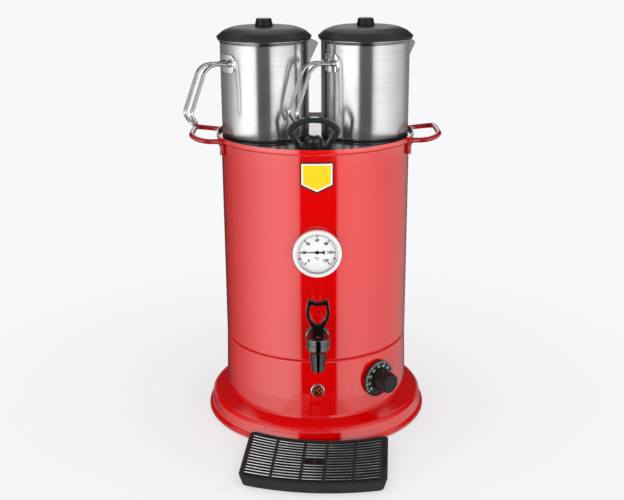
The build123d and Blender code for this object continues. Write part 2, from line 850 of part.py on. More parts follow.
with BuildPart() as lamp_lens:
    lens_seat = lamp_face + 0.8 + seat_gap
    with BuildSketch(wall_plane(0, lens_seat, lamp_z)):
        Circle(lamp_lens_r)
    extrude(amount=lamp_bezel - 0.8)
    with BuildSketch(wall_plane(0, lens_seat + lamp_bezel - 0.8, lamp_z)):
        Circle(lamp_lens_r)
    with BuildSketch(wall_plane(0, lens_seat + lamp_bezel - 0.8 + lamp_lens_rise, lamp_z)):
        Circle(lamp_lens_r * 0.55)
    loft()
    with BuildSketch(wall_plane(0, lens_seat + 0.5, lamp_z)):
        Circle(lamp_lens_stem_r)
    extrude(amount=-8)

with BuildPart() as lamp_lock_nut:
    lamp_wall_r = housing_radius(lamp_z + lamp_nut_flat / 2) - paint_sheet
    lamp_nut_face = sqrt(lamp_wall_r**2 - (0.6 * lamp_nut_flat) ** 2) - seat_gap
    with BuildSketch(wall_plane(0, lamp_nut_face, lamp_z)):
        RegularPolygon(lamp_nut_flat / 2, 6, major_radius=False)
        Circle(lamp_barrel_r + seat_gap, mode=Mode.SUBTRACT)
    extrude(amount=-lamp_nut)

# ================================================================ thermometer
gauge_rear = body_r + 2 * seat_gap
dial_front = gauge_rear + gauge_back + seat_gap + gauge_dial
pointer_face = dial_front + gap
glass_rear = gauge_rear + gauge_case_depth + seat_gap
bezel_front = glass_rear + gauge_glass + seat_gap + 1.0

with BuildPart() as gauge_case:
    with BuildSketch(wall_plane(0, gauge_rear, gauge_z)):
        Circle(gauge_case_r)
    extrude(amount=gauge_case_depth)
    with BuildSketch(wall_plane(0, gauge_rear + gauge_back, gauge_z)):
        Circle(gauge_case_r - gauge_wall)
    extrude(amount=gauge_case_depth, mode=Mode.SUBTRACT)
    with BuildSketch(wall_plane(0, gauge_rear + 0.5, gauge_z)):
        Circle(gauge_shank_r)
    extrude(amount=-gauge_shank)
    with BuildSketch(wall_plane(0, gauge_rear - gauge_shank + 1, gauge_z)):
        Circle(gauge_probe_r)
    extrude(amount=-gauge_probe)
    with BuildSketch(wall_plane(0, gauge_rear + gauge_back, gauge_z)):
        Circle(pointer_spindle_r + run_fit)
    extrude(amount=-gauge_back - 6, mode=Mode.SUBTRACT)

with BuildPart() as gauge_bezel:
    with BuildSketch(wall_plane(0, bezel_front, gauge_z)):
        Circle(gauge_bezel_r)
    extrude(amount=-gauge_bezel_depth)
    fillet(gauge_bezel.edges().sort_by(Axis.Y)[0], gauge_bezel_lip)
    with BuildSketch(wall_plane(0, bezel_front - 1.0, gauge_z)):
        Circle(gauge_case_r + seat_gap)
    extrude(amount=-gauge_bezel_depth, mode=Mode.SUBTRACT)
    with BuildSketch(wall_plane(0, bezel_front, gauge_z)):
        Circle(gauge_window_r)
    extrude(amount=-gauge_bezel_depth, mode=Mode.SUBTRACT)
    window_edges = gauge_bezel.edges().filter_by(GeomType.CIRCLE)
    window_edges = window_edges.filter_by(lambda edge: abs(edge.radius - gauge_window_r) < 0.01)
    chamfer(window_edges.sort_by(Axis.Y)[0], 0.6)

with BuildPart() as gauge_dial_plate:
    with BuildSketch(wall_plane(0, dial_front, gauge_z)):
        Circle(gauge_dial_r)
        Circle(pointer_spindle_r + 2 * run_fit, mode=Mode.SUBTRACT)
    extrude(amount=-gauge_dial)

with BuildPart() as gauge_window:
    with BuildSketch(wall_plane(0, glass_rear, gauge_z)):
        Circle(gauge_case_r - seat_gap)
    extrude(amount=gauge_glass)

with BuildPart() as gauge_pointer:
    with BuildSketch(wall_plane(0, pointer_face, gauge_z)):
        with BuildLine():
            Polyline(
                (0, pointer_root_half * 1.3),
                (-pointer_tip, 0.25),
                (-pointer_tip, -0.25),
                (0, -pointer_root_half * 1.3),
                (pointer_tail * 0.62, -pointer_root_half * 1.3),
                (pointer_tail, -3.1),
                (pointer_tail, 3.1),
                (pointer_tail * 0.62, pointer_root_half * 1.3),
                close=True,
            )
        make_face()
        Circle(pointer_hub_r)
    extrude(amount=pointer_thick)
    with BuildSketch(wall_plane(0, pointer_face, gauge_z)):
        Circle(pointer_spindle_r)
    extrude(amount=-(pointer_face - gauge_rear) - 3)

with BuildPart() as gauge_lock_nut:
    gauge_nut_face = sqrt(tank_inner_r**2 - (gauge_nut_flat / 2) ** 2) - 2 * seat_gap
    with BuildSketch(wall_plane(0, gauge_nut_face, gauge_z)):
        RegularPolygon(gauge_nut_flat / 2, 6, major_radius=False)
        Circle(gauge_shank_r + seat_gap, mode=Mode.SUBTRACT)
    extrude(amount=-gauge_nut)

# ================================================================ tap
tap_section = Plane(origin=(0, tap_y, 0), x_dir=(1, 0, 0), z_dir=(0, -1, 0))
tap_axis = Axis((0, tap_y, 0), (0, 0, 1))
pin_y = tap_y - lever_offset
pin_z = bonnet_floor_z + gap + lever_boss_r
link_travel = lever_offset * (1 - cos(radians(lever_open)))
link_hole_r = link_pin_r + link_travel + 2 * seat_gap

with BuildPart() as tap_body:
    with BuildSketch(tap_section):
        with BuildLine():
            Polyline(
                (0, spout_end_z),
                (spout_end_r, spout_end_z),
                (spout_top_r, spout_top_z),
                (collar_foot_r, collar_foot_z),
                (collar_r, collar_foot_z + 2),
                (collar_r, tap_split_z - groove_width),
                (collar_r - groove_depth, tap_split_z - groove_width),
                (collar_r - groove_depth, tap_split_z),
                (0, tap_split_z),
                close=True,
            )
        make_face()
    revolve(axis=tap_axis)
    with BuildSketch(wall_plane(0, -shank_end_y, shank_z)):
        Circle(shank_r)
    extrude(amount=shank_end_y - tap_y - chamber_r)
    with BuildSketch(tap_section):
        with BuildLine():
            Polyline(
                (0, spout_end_z - 1),
                (spout_bore_r, spout_end_z - 1),
                (spout_bore_r, tap_seat_z - seat_lip),
                (seat_bore_r, tap_seat_z - seat_lip),
                (seat_bore_r, tap_seat_z),
                (chamber_r, tap_seat_z),
                (chamber_r, tap_split_z + 1),
                (0, tap_split_z + 1),
                close=True,
            )
        make_face()
    revolve(axis=tap_axis, mode=Mode.SUBTRACT)
    with BuildSketch(wall_plane(0, -shank_end_y - 1, shank_z)):
        Circle(shank_bore_r)
    extrude(amount=shank_end_y + 1 - tap_y, mode=Mode.SUBTRACT)

with BuildPart() as tap_rosette:
    with BuildSketch(wall_plane(0, body_r - 10, shank_z)):
        Circle(rosette_r)
    extrude(amount=10 + rosette)
    fillet(tap_rosette.edges().sort_by(Axis.Y)[0], 3.0)
    with BuildSketch(wall_plane(0, body_r - 11, shank_z)):
        Circle(shank_r + seat_gap)
    extrude(amount=20 + rosette, mode=Mode.SUBTRACT)
    add(body_envelope.part, mode=Mode.SUBTRACT)

with BuildPart() as tank_space:
    with BuildSketch(Plane.XY.offset(tank_bottom_z)):
        Circle(tank_inner_r - seat_gap)
    extrude(amount=ledge_z - tank_bottom_z)

with BuildPart() as tap_seal_washer:
    seal_face = sqrt(tank_inner_r**2 - tap_seal_r**2) - seat_gap - tap_seal
    with BuildSketch(wall_plane(0, seal_face, shank_z)):
        Circle(tap_seal_r)
        Circle(shank_r + seat_gap, mode=Mode.SUBTRACT)
    extrude(amount=tap_seal + 5)
    add(tank_space.part, mode=Mode.INTERSECT)

with BuildPart() as tap_back_nut:
    with BuildSketch(wall_plane(0, seal_face - seat_gap, shank_z)):
        RegularPolygon(tap_nut_flat / 2, 6, major_radius=False)
        Circle(shank_r + seat_gap, mode=Mode.SUBTRACT)
    extrude(amount=-tap_nut)

with BuildPart() as tap_bonnet:
    with BuildSketch(Plane.XY.offset(tap_split_z + seat_gap)):
        with Locations((0, tap_y)):
            Circle(collar_r)
    extrude(amount=bonnet_top_z - tap_split_z - seat_gap)
    fillet(tap_bonnet.edges().group_by(Axis.Z)[-1], bonnet_round)
    with BuildSketch(Plane.XY.offset(bonnet_plug_z)):
        with Locations((0, tap_y)):
            Circle(chamber_r - seat_gap)
    extrude(amount=tap_split_z + 1 - bonnet_plug_z)
    front = lever_offset + lever_boss_r + 4.5
    back = lever_boss_r + 1.5
    with BuildSketch(Plane.XY.offset(bonnet_floor_z)):
        with Locations((0, tap_y + (back - front) / 2)):
            Rectangle(lever_width + 2 * gap, front + back)
    extrude(amount=bonnet_top_z, mode=Mode.SUBTRACT)
    with BuildSketch(Plane.XY.offset(bonnet_plug_z - 1)):
        with Locations((0, tap_y)):
            Circle(stem_r + run_fit)
            Rectangle(stem_tang + 2 * gap, stem_tang + 2 * gap)
    extrude(amount=10, mode=Mode.SUBTRACT)
    with BuildSketch(Plane.YZ.offset(-collar_r)):
        with Locations((pin_y, pin_z)):
            Circle(tap_pin_r + seat_gap / 2)
    extrude(amount=2 * collar_r, mode=Mode.SUBTRACT)

with BuildPart() as tap_pin:
    pin_half = sqrt((collar_r - 1) ** 2 - (lever_offset + tap_pin_r) ** 2)
    with BuildSketch(Plane.YZ.offset(-pin_half)):
        with Locations((pin_y, pin_z)):
            Circle(tap_pin_r)
    extrude(amount=2 * pin_half)

with BuildPart() as tap_lever:
    lever_mid_y = tap_y - loop_front
    loop_plane = Plane(origin=(0, lever_mid_y, 0), x_dir=(1, 0, 0), z_dir=(0, -1, 0))
    half = lever_width / 2
    loop_height = loop_top_z - neck_top_z
    with BuildSketch(loop_plane):
        with BuildLine():
            outline = [
                (half, neck_top_z),
                (loop_half - 4.0, neck_top_z + 0.26 * loop_height),
                (loop_half, neck_top_z + 0.55 * loop_height),
                (loop_half - 3.6, loop_top_z + 1.0),
                (0, loop_top_z - 6.0),
            ]
            mirrored = [(-x, z) for x, z in reversed(outline[:-1])]
            FilletPolyline(*outline, *mirrored, radius=(0, 20, 20, 1.8, 14, 1.8, 20, 20, 0), close=True)
        make_face()
        with BuildLine():
            window = [
                (0, neck_top_z + 0.13 * loop_height),
                (loop_window_half - 2.6, neck_top_z + 0.34 * loop_height),
                (loop_window_half, neck_top_z + 0.58 * loop_height),
                (loop_window_half - 1.8, loop_top_z - 8.0),
                (0, loop_top_z - 11.4),
            ]
            mirrored = [(-x, z) for x, z in reversed(window[1:-1])]
            FilletPolyline(*window, *mirrored, radius=(5, 11, 16, 3, 20, 3, 16, 11), close=True)
        make_face(mode=Mode.SUBTRACT)
    extrude(amount=loop_thick / 2, both=True)
    loop_faces = tap_lever.faces().filter_by(Axis.Y)
    fillet(loop_faces.edges().filter_by(lambda edge: edge.center().Z > neck_top_z + 0.1), 1.4)
    with BuildSketch(loop_plane):
        with Locations((0, (pin_z + neck_top_z) / 2 + 0.5)):
            Rectangle(lever_width, neck_top_z - pin_z + 1)
    extrude(amount=loop_thick / 2, both=True)
    with BuildSketch(Plane.YZ.offset(-half)):
        with Locations((pin_y, pin_z), (tap_y, pin_z)):
            Circle(lever_boss_r)
        with Locations(((pin_y + tap_y) / 2, pin_z)):
            Rectangle(lever_offset, 2 * lever_boss_r)
    extrude(amount=lever_width)
    with BuildSketch(Plane.YZ.offset(-lever_slot / 2)):
        with Locations((tap_y, pin_z)):
            Rectangle(2 * lever_boss_r + 6, 4 * lever_boss_r)
    extrude(amount=lever_slot, mode=Mode.SUBTRACT)
    with BuildSketch(Plane.YZ.offset(-lever_width)):
        with Locations((pin_y, pin_z)):
            Circle(tap_pin_r + run_fit)
        with Locations((tap_y, pin_z)):
            Circle(link_hole_r)
    extrude(amount=2 * lever_width, mode=Mode.SUBTRACT)

with BuildPart() as tap_stem:
    stem_foot_z = tap_seat_z + gap / 2 + 1.5
    with BuildSketch(Plane.XY.offset(stem_foot_z)):
        with Locations((0, tap_y)):
            Circle(stem_r)
    extrude(amount=bonnet_floor_z - stem_foot_z)
    with BuildSketch(Plane.XY.offset(bonnet_floor_z)):
        with Locations((0, tap_y)):
            Rectangle(stem_tang, stem_tang - 1.4)
    extrude(amount=pin_z + 2.2 - bonnet_floor_z)
    with BuildSketch(Plane.YZ.offset(-half + 0.8)):
        with Locations((tap_y, pin_z)):
            Circle(link_pin_r)
    extrude(amount=lever_width - 1.6)

with BuildPart() as tap_seat_cup:
    cup_z = tap_seat_z + gap / 2
    with BuildSketch(Plane.XY.offset(cup_z)):
        with Locations((0, tap_y)):
            Circle(seat_cup_r - 1.5)
    with BuildSketch(Plane.XY.offset(cup_z + seat_cup)):
        with Locations((0, tap_y)):
            Circle(seat_cup_r)
    loft()
    with BuildSketch(Plane.XY.offset(stem_foot_z - seat_gap)):
        with Locations((0, tap_y)):
            Circle(stem_r + seat_gap / 2)
    extrude(amount=seat_cup, mode=Mode.SUBTRACT)

with BuildPart() as tap_spring:
    spring_z = cup_z + seat_cup + spring_wire_r + gap
    spring_height = bonnet_plug_z - gap - spring_wire_r - spring_z
    with BuildLine(Plane.XY.offset(spring_z).shift_origin((0, tap_y, spring_z))):
        coil = Helix(pitch=spring_height / spring_turns, height=spring_height, radius=spring_r)
    with BuildSketch(Plane(origin=coil @ 0, z_dir=coil % 0)):
        Circle(spring_wire_r)
    sweep(is_frenet=True)

# ================================================================ urn lid
pot_locations = Locations((-pot_x, pot_y), (pot_x, pot_y))

with BuildPart() as lid_plate:
    with BuildSketch(Plane.XY.offset(deck_z - lid_sheet)):
        Circle(deck_r)
    extrude(amount=lid_sheet)
    with BuildSketch(Plane.XY.offset(deck_z)):
        with pot_locations:
            Circle(hole_r + upstand_sheet)
    extrude(amount=upstand_height)
    with BuildSketch(Plane.XY.offset(deck_z - 5)):
        with pot_locations:
            Circle(hole_r)
        with Locations(
            (lid_handle_x - lid_screw_x, lid_handle_y), (lid_handle_x + lid_screw_x, lid_handle_y)
        ):
            Circle(lid_screw_r + bolt_fit)
    extrude(amount=upstand_height + 10, mode=Mode.SUBTRACT)

with BuildPart() as lid_handle:
    arch_plane = Plane(origin=(lid_handle_x, lid_handle_y, 0), x_dir=(1, 0, 0), z_dir=(0, -1, 0))
    handle_foot_z = deck_z + seat_gap
    arch_waist_z = deck_z + lid_arch_waist
    arch_top_z = deck_z + lid_arch_rise
    with BuildSketch(arch_plane) as arch:
        with BuildLine():
            EllipticalCenterArc((0, arch_waist_z), lid_arch_half, arch_top_z - arch_waist_z, arc_size=180)
            Polyline(
                (-lid_arch_half, arch_waist_z),
                (-lid_arch_foot_half, handle_foot_z + lid_base / 2),
                (lid_arch_foot_half, handle_foot_z + lid_base / 2),
                (lid_arch_half, arch_waist_z),
            )
        make_face()
        window_half = lid_arch_half - lid_arch_side
        with BuildLine():
            EllipticalCenterArc(
                (0, arch_waist_z), window_half, arch_top_z - lid_arch_thick - arch_waist_z, arc_size=180
            )
            Polyline(
                (-window_half, arch_waist_z),
                (-lid_window_foot_half, handle_foot_z + lid_base),
                (lid_window_foot_half, handle_foot_z + lid_base),
                (window_half, arch_waist_z),
            )
        make_face(mode=Mode.SUBTRACT)
        fillet(arch.vertices().filter_by(lambda vertex: abs(vertex.Y - arch_waist_z) < 0.1), lid_arch_bend)
    extrude(amount=lid_arch_depth / 2, both=True)
    arch_rims = lid_handle.faces().filter_by(Axis.Y).edges()
    fillet(arch_rims.filter_by(lambda edge: edge.center().Z > handle_foot_z + 2 * lid_base), lid_arch_round)
    with BuildSketch(Plane.XY.offset(handle_foot_z)):
        with Locations((lid_handle_x, lid_handle_y)):
            RectangleRounded(2 * lid_base_half, lid_base_depth, 5)
    extrude(amount=lid_base)
    with BuildSketch(arch_plane):
        with BuildLine():
            FilletPolyline(
                (0, handle_foot_z + lid_base / 2),
                (lid_boss_r, handle_foot_z + lid_base / 2),
                (lid_boss_r - 0.6, handle_foot_z + lid_boss_height),
                (0, handle_foot_z + lid_boss_height),
                radius=(0, lid_boss_round),
            )
            Line((0, handle_foot_z + lid_boss_height), (0, handle_foot_z + lid_base / 2))
        make_face()
    revolve(axis=Axis((lid_handle_x, lid_handle_y, 0), (0, 0, 1)))
    with BuildSketch(Plane.XY.offset(handle_foot_z - 1)):
        with Locations(
            (lid_handle_x - lid_screw_x, lid_handle_y), (lid_handle_x + lid_screw_x, lid_handle_y)
        ):
            Circle(lid_screw_r + seat_gap / 2)
    extrude(amount=lid_screw_length, mode=Mode.SUBTRACT)

with BuildPart() as lid_screws:
    with BuildSketch(Plane.XY.offset(deck_z - lid_sheet - seat_gap)):
        with Locations(
            (lid_handle_x - lid_screw_x, lid_handle_y), (lid_handle_x + lid_screw_x, lid_handle_y)
        ):
            Circle(lid_screw_head_r)
    extrude(amount=-lid_screw_head)
    with BuildSketch(Plane.XY.offset(deck_z - lid_sheet - 1)):
        with Locations(
            (lid_handle_x - lid_screw_x, lid_handle_y), (lid_handle_x + lid_screw_x, lid_handle_y)
        ):
            Circle(lid_screw_r)
    extrude(amount=lid_screw_length - 0.5)

pieces = {
    "base_ring": base_ring,
    "lower_housing": lower_housing,
    "body_jacket": body_jacket,
    "side_handle_right": side_handle_right,
    "side_handle_left": side_handle_left,
    "badge_plate": badge_plate,
    "bottom_plate": bottom_plate,
    "rubber_feet": rubber_feet,
    "foot_screws": foot_screws,
    "tank": tank,
    "heating_element": heating_element,
    "element_seals": element_seals,
    "element_nuts": element_nuts,
    "thermostat_body": thermostat_body,
    "thermostat_shaft": thermostat_shaft,
    "thermostat_knob": thermostat_knob,
    "thermostat_bulb": thermostat_bulb,
    "safety_cutout": safety_cutout,
    "terminal_block": terminal_block,
    "wiring": wiring,
    "cable_gland": cable_gland,
    "lamp_bezel": lamp_surround,
    "lamp_lens": lamp_lens,
    "lamp_nut": lamp_lock_nut,
    "gauge_case": gauge_case,
    "gauge_bezel": gauge_bezel,
    "gauge_dial": gauge_dial_plate,
    "gauge_glass": gauge_window,
    "gauge_pointer": gauge_pointer,
    "gauge_nut": gauge_lock_nut,
    "tap_body": tap_body,
    "tap_rosette": tap_rosette,
    "tap_seal": tap_seal_washer,
    "tap_nut": tap_back_nut,
    "tap_bonnet": tap_bonnet,
    "tap_pin": tap_pin,
    "tap_lever": tap_lever,
    "tap_stem": tap_stem,
    "tap_seat_cup": tap_seat_cup,
    "tap_spring": tap_spring,
    "lid_plate": lid_plate,
    "lid_handle": lid_handle,
    "lid_screws": lid_screws,
}

# ================================================================ pots
pot_turn = radians(pot_handle_angle)
handle_dir = Vector(-sin(pot_turn), -cos(pot_turn), 0)
bracket_z = pot_rim_z - bracket_drop


def spout_wedge(level, inset, top_z):
    """Triangle that grows up the pot's wall; inset leaves room for the spout's sheet."""
    spout_low_z = pot_rim_z - spout_length
    slope = spout_reach / (spout_length - spout_drop)
    with BuildPart() as wedge:
        for height in (spout_low_z + 2 + 7 * inset, top_z):
            rise = height - spout_low_z
            tip = pot_r + rise * slope - 1.8 * inset
            side = spout_half * rise / spout_length - inset
            with BuildSketch(level.offset(height)):
                Polygon((pot_r - 12, -side), (tip, 0), (pot_r - 12, side), align=None)
        loft()
    return wedge.part


for side_name, centre_x in pot_places.items():
    pot_origin = (centre_x, pot_y, 0)
    pot_level = Plane(origin=pot_origin, x_dir=handle_dir, z_dir=(0, 0, 1))
    spout_level = Plane(origin=pot_origin, x_dir=(handle_dir * -1), z_dir=(0, 0, 1))
    pot_section = Plane(
        origin=pot_origin,
        x_dir=handle_dir,
        z_dir=handle_dir.cross(Vector(0, 0, 1)),
    )
    spout_section = Plane(
        origin=pot_origin,
        x_dir=(handle_dir * -1),
        z_dir=handle_dir.cross(Vector(0, 0, -1)),
    )
    pot_axis = Axis(pot_origin, (0, 0, 1))
    bracket_plane = Plane(
        origin=(Vector(*pot_origin) + handle_dir * (pot_r - 10) + Vector(0, 0, bracket_z)),
        x_dir=Vector(0, 0, 1).cross(handle_dir),
        z_dir=handle_dir,
    )

    with BuildPart() as pot_body:
        mid_r = pot_r - steel_sheet / 2
        plug_mid_r = plug_r - steel_sheet / 2
        shoulder_mid_z = pot_shoulder_z + steel_sheet / 2
        bead_z = pot_rim_z - pot_bead_r
        with BuildSketch(pot_section):
            with BuildLine():
                FilletPolyline(
                    (0, pot_floor_z + steel_sheet / 2),
                    (plug_mid_r, pot_floor_z + steel_sheet / 2),
                    (plug_mid_r, shoulder_mid_z),
                    (mid_r, shoulder_mid_z),
                    (mid_r, bead_z - pot_flare),
                    (pot_flare_r, bead_z),
                    radius=(4.0, 1.0, 2.0, 5.0),
                )
            trace(line_width=steel_sheet)
            with Locations((pot_flare_r, bead_z)):
                Circle(pot_bead_r)
        revolve(axis=pot_axis)
        add(
            spout_wedge(spout_level, spout_sheet, pot_rim_z - passage_drop).intersect(
                Solid.make_cylinder(pot_r + 5, pot_rim_z + 50, Plane(pot_origin))
            ),
            mode=Mode.SUBTRACT,
        )

    with BuildPart() as pot_spout:
        add(spout_wedge(spout_level, 0, pot_rim_z + 10))
        add(spout_wedge(spout_level, spout_sheet, pot_rim_z + 11), mode=Mode.SUBTRACT)
        spout_end_r = pot_r + spout_reach
        with BuildSketch(spout_section):
            Polygon(
                (0, pot_rim_z - 1.5),
                (pot_flare_r, pot_rim_z - 2 * pot_bead_r),
                (spout_end_r - spout_lip, pot_rim_z - spout_drop + spout_lip),
                (spout_end_r, pot_rim_z - spout_drop),
                (spout_end_r + 30, pot_rim_z - spout_drop - 13),
                (spout_end_r + 30, pot_rim_z + 20),
                (0, pot_rim_z + 20),
                align=None,
            )
        extrude(amount=2 * spout_half, both=True, mode=Mode.SUBTRACT)
        with BuildSketch(spout_section):
            Polygon(
                (0, 0),
                (pot_r + seat_gap, 0),
                (pot_r + seat_gap, bead_z - pot_flare - 1),
                (pot_flare_r + pot_bead_r + seat_gap, bead_z - 1),
                (pot_flare_r + pot_bead_r + seat_gap, pot_rim_z + 20),
                (0, pot_rim_z + 20),
                align=None,
            )
        revolve(axis=pot_axis, mode=Mode.SUBTRACT)

    with BuildPart() as pot_bracket:
        with BuildSketch(bracket_plane):
            RectangleRounded(bracket_width, bracket_height, bracket_corner)
        extrude(amount=20)
        with BuildSketch(pot_level.offset(bracket_z - bracket_height)):
            Circle(pot_r + seat_gap + bracket_thick)
            Circle(pot_r + seat_gap, mode=Mode.SUBTRACT)
        extrude(amount=2 * bracket_height, mode=Mode.INTERSECT)
        with BuildSketch(bracket_plane.offset(10 + 0.5)):
            with Locations((-pot_rod_spread, 0), (pot_rod_spread, 0)):
                Circle(socket_r)
        extrude(amount=socket_length, taper=6)
        with BuildSketch(bracket_plane.offset(10 + 1.2)):
            with Locations((-pot_rod_spread, 0), (pot_rod_spread, 0)):
                Circle(pot_rod_r + seat_gap / 2)
        extrude(amount=socket_length + 10, mode=Mode.SUBTRACT)

    with BuildPart() as pot_handle:
        half_route = [
            (pot_r + 1.6, bracket_z),
            (pot_r + socket_run, bracket_z),
            (pot_r + elbow_reach, bracket_z + elbow_rise),
            (pot_r + knee_reach, bracket_z - knee_drop),
            (pot_r + end_reach, bracket_z - end_drop),
        ]
        near_side = [(out, pot_rod_spread, height) for out, height in half_route]
        far_side = [(out, -pot_rod_spread, height) for out, height in reversed(half_route)]
        route = [pot_level.from_local_coords(point) for point in near_side + far_side]
        with BuildLine():
            path = FilletPolyline(*route, radius=(*pot_rod_bends, *reversed(pot_rod_bends)))
        with BuildSketch(Plane(origin=path @ 0, z_dir=path % 0)):
            Circle(pot_rod_r)
        sweep()

    with BuildPart() as pot_lid:
        lid_bead_z = pot_rim_z + gap + lid_bead_r
        with BuildSketch(pot_section):
            with BuildLine():
                FilletPolyline(
                    (lid_bead_ring_r, lid_bead_z + 1.5),
                    (dome_knee_r, lid_bead_z + dome_knee),
                    (dome_shoulder_r, lid_bead_z + dome_shoulder),
                    (knob_screw_r + bolt_fit, lid_bead_z + dome_height - pot_lid_sheet / 2),
                    radius=dome_bends,
                )
            trace(line_width=pot_lid_sheet)
            with Locations((lid_bead_ring_r, lid_bead_z)):
                Circle(lid_bead_r)
            ring_mid_r = locating_ring_r - pot_lid_sheet / 2
            flank = (dome_knee - 1.5) / dome_knee_in
            ring_top = 1.5 + flank * (lid_bead_ring_r - ring_mid_r)
            with Locations((ring_mid_r, lid_bead_z + (ring_top - locating_ring) / 2)):
                Rectangle(pot_lid_sheet, ring_top + locating_ring)
        revolve(axis=pot_axis)

    with BuildPart() as pot_knob:
        knob_z = lid_bead_z + dome_height + seat_gap
        with BuildSketch(pot_section):
            with BuildLine():
                Polyline(
                    (0, knob_z),
                    (knob_root_r, knob_z),
                    (knob_root_r, knob_z + knob_foot),
                    (knob_top_r, knob_z + knob_height),
                    (0, knob_z + knob_height),
                    close=True,
                )
            make_face()
        revolve(axis=pot_axis)
        fillet(pot_knob.edges().group_by(Axis.Z)[-1], knob_round)
        with BuildSketch(pot_level.offset(knob_z - 1)):
            Circle(knob_screw_r + seat_gap / 2)
        extrude(amount=knob_screw_depth + 1.5, mode=Mode.SUBTRACT)

    with BuildPart() as pot_knob_screw:
        with BuildSketch(pot_level.offset(knob_z - seat_gap - pot_lid_sheet - seat_gap)):
            Circle(knob_screw_head_r)
        extrude(amount=-knob_screw_head)
        with BuildSketch(pot_level.offset(knob_z - 2 * seat_gap - pot_lid_sheet - 0.5)):
            Circle(knob_screw_r)
        extrude(amount=knob_screw_depth + pot_lid_sheet + 0.5)

    pieces[f"pot_body_{side_name}"] = pot_body
    pieces[f"pot_spout_{side_name}"] = pot_spout
    pieces[f"pot_bracket_{side_name}"] = pot_bracket
    pieces[f"pot_handle_{side_name}"] = pot_handle
    pieces[f"pot_lid_{side_name}"] = pot_lid
    pieces[f"pot_knob_{side_name}"] = pot_knob
    pieces[f"pot_knob_screw_{side_name}"] = pot_knob_screw

# ================================================================ drip tray
tray_y = -(base_r + tray_back + tray_clear)
tray_across = (cos(radians(tray_turn)), sin(radians(tray_turn)), 0)
tray_level = Plane(origin=(tray_x, tray_y, 0), x_dir=tray_across, z_dir=(0, 0, 1))
arc_centre_v = tray_back + tray_arc_r
front_arc_r = arc_centre_v + tray_front


def arc_v(radius, u):
    """Depth coordinate of a point at u on a circle about the tray's arc centre."""
    return arc_centre_v - sqrt(radius**2 - u**2)


def tray_outline(inset):
    """Outline of the tray, drawn in by inset, with its corners rounded."""
    edge = tray_half - inset
    back_r = tray_arc_r + inset
    front_r = front_arc_r - inset
    with BuildSketch() as outline:
        with BuildLine():
            ThreePointArc((-edge, arc_v(back_r, edge)), (0, arc_v(back_r, 0)), (edge, arc_v(back_r, edge)))
            Line((edge, arc_v(back_r, edge)), (edge, arc_v(front_r, edge)))
            ThreePointArc((edge, arc_v(front_r, edge)), (0, arc_v(front_r, 0)), (-edge, arc_v(front_r, edge)))
            Line((-edge, arc_v(front_r, edge)), (-edge, arc_v(back_r, edge)))
        make_face()
        fillet(outline.vertices().sort_by(Axis.Y)[:2], tray_front_corner - inset / 2)
        fillet(outline.vertices().sort_by(Axis.Y)[-2:], tray_back_corner - inset / 2)
    return outline.sketch


with BuildPart() as drip_tray:
    tray_sink = tray_height * tan(radians(tray_draft))
    with BuildSketch(tray_level):
        add(tray_outline(tray_sink))
    with BuildSketch(tray_level.offset(tray_height)):
        add(tray_outline(0))
    loft()
    with BuildSketch(tray_level.offset(tray_floor)):
        add(tray_outline(tray_sink + tray_wall + tray_rim))
    with BuildSketch(tray_level.offset(tray_height)):
        add(tray_outline(tray_wall + tray_rim))
    loft(mode=Mode.SUBTRACT)
    with BuildSketch(tray_level.offset(tray_height - tray_ledge)):
        add(tray_outline(tray_rim))
    extrude(amount=tray_ledge + 1, mode=Mode.SUBTRACT)

with BuildPart() as tray_grille:
    grille_z = tray_height - tray_ledge + gap
    slat_r0 = tray_arc_r + tray_rim + gap + grille_margin
    notch_r = (notch_length**2 / 4 + notch_depth**2) / (2 * notch_depth)
    with BuildSketch(tray_level.offset(grille_z)):
        add(tray_outline(tray_rim + gap))
        with Locations((tray_half - tray_rim - gap + notch_r - notch_depth, notch_v)):
            Circle(notch_r, mode=Mode.SUBTRACT)
    extrude(amount=grille_thick)
    finger_r0 = slat_r0 + finger_rows[0] * slat_pitch
    finger_r1 = slat_r0 + (finger_rows[-1] + 1) * slat_pitch - slat
    finger_u = (column_edges[2] + column_edges[3]) / 2
    finger_v = arc_centre_v - (finger_r0 + finger_r1) / 2
    with BuildSketch(mode=Mode.PRIVATE) as finger_block:
        with Locations((0, arc_centre_v)):
            Circle(finger_r1 + slat / 2)
            Circle(finger_r0 - slat / 2, mode=Mode.SUBTRACT)
        with Locations((finger_u, finger_v)):
            Rectangle(column_edges[3] - column_edges[2], 3 * (finger_r1 - finger_r0), mode=Mode.INTERSECT)
    with BuildSketch(tray_level.offset(grille_z - 1)):
        for left, right in zip(column_edges, column_edges[1:]):
            with Locations(((left + right) / 2, 0)):
                Rectangle(right - left - rib, 3 * tray_back)
        with Locations((0, arc_centre_v)):
            Circle(slat_r0 + slat_pitch * slot_rows - slat, mode=Mode.INTERSECT)
            Circle(slat_r0, mode=Mode.SUBTRACT)
        for row in range(1, slot_rows):
            slat_front_r = slat_r0 + row * slat_pitch
            with BuildSketch(mode=Mode.PRIVATE) as slat_ring:
                with Locations((0, arc_centre_v)):
                    Circle(slat_front_r)
                    Circle(slat_front_r - slat, mode=Mode.SUBTRACT)
            add(slat_ring.sketch, mode=Mode.SUBTRACT)
        add(finger_block.sketch, mode=Mode.SUBTRACT)
        with Locations((finger_u, finger_v)):
            RectangleRounded(finger_width, finger_r1 - finger_r0, finger_corner)
            Rectangle(finger_bridge, finger_r1 - finger_r0 + slat, mode=Mode.SUBTRACT)
    extrude(amount=grille_thick + 2, mode=Mode.SUBTRACT)

pieces["drip_tray"] = drip_tray
pieces["tray_grille"] = tray_grille

for name, piece in pieces.items():
    piece.part.label = name
    export_step(piece.part, f"parts/{name}.step")
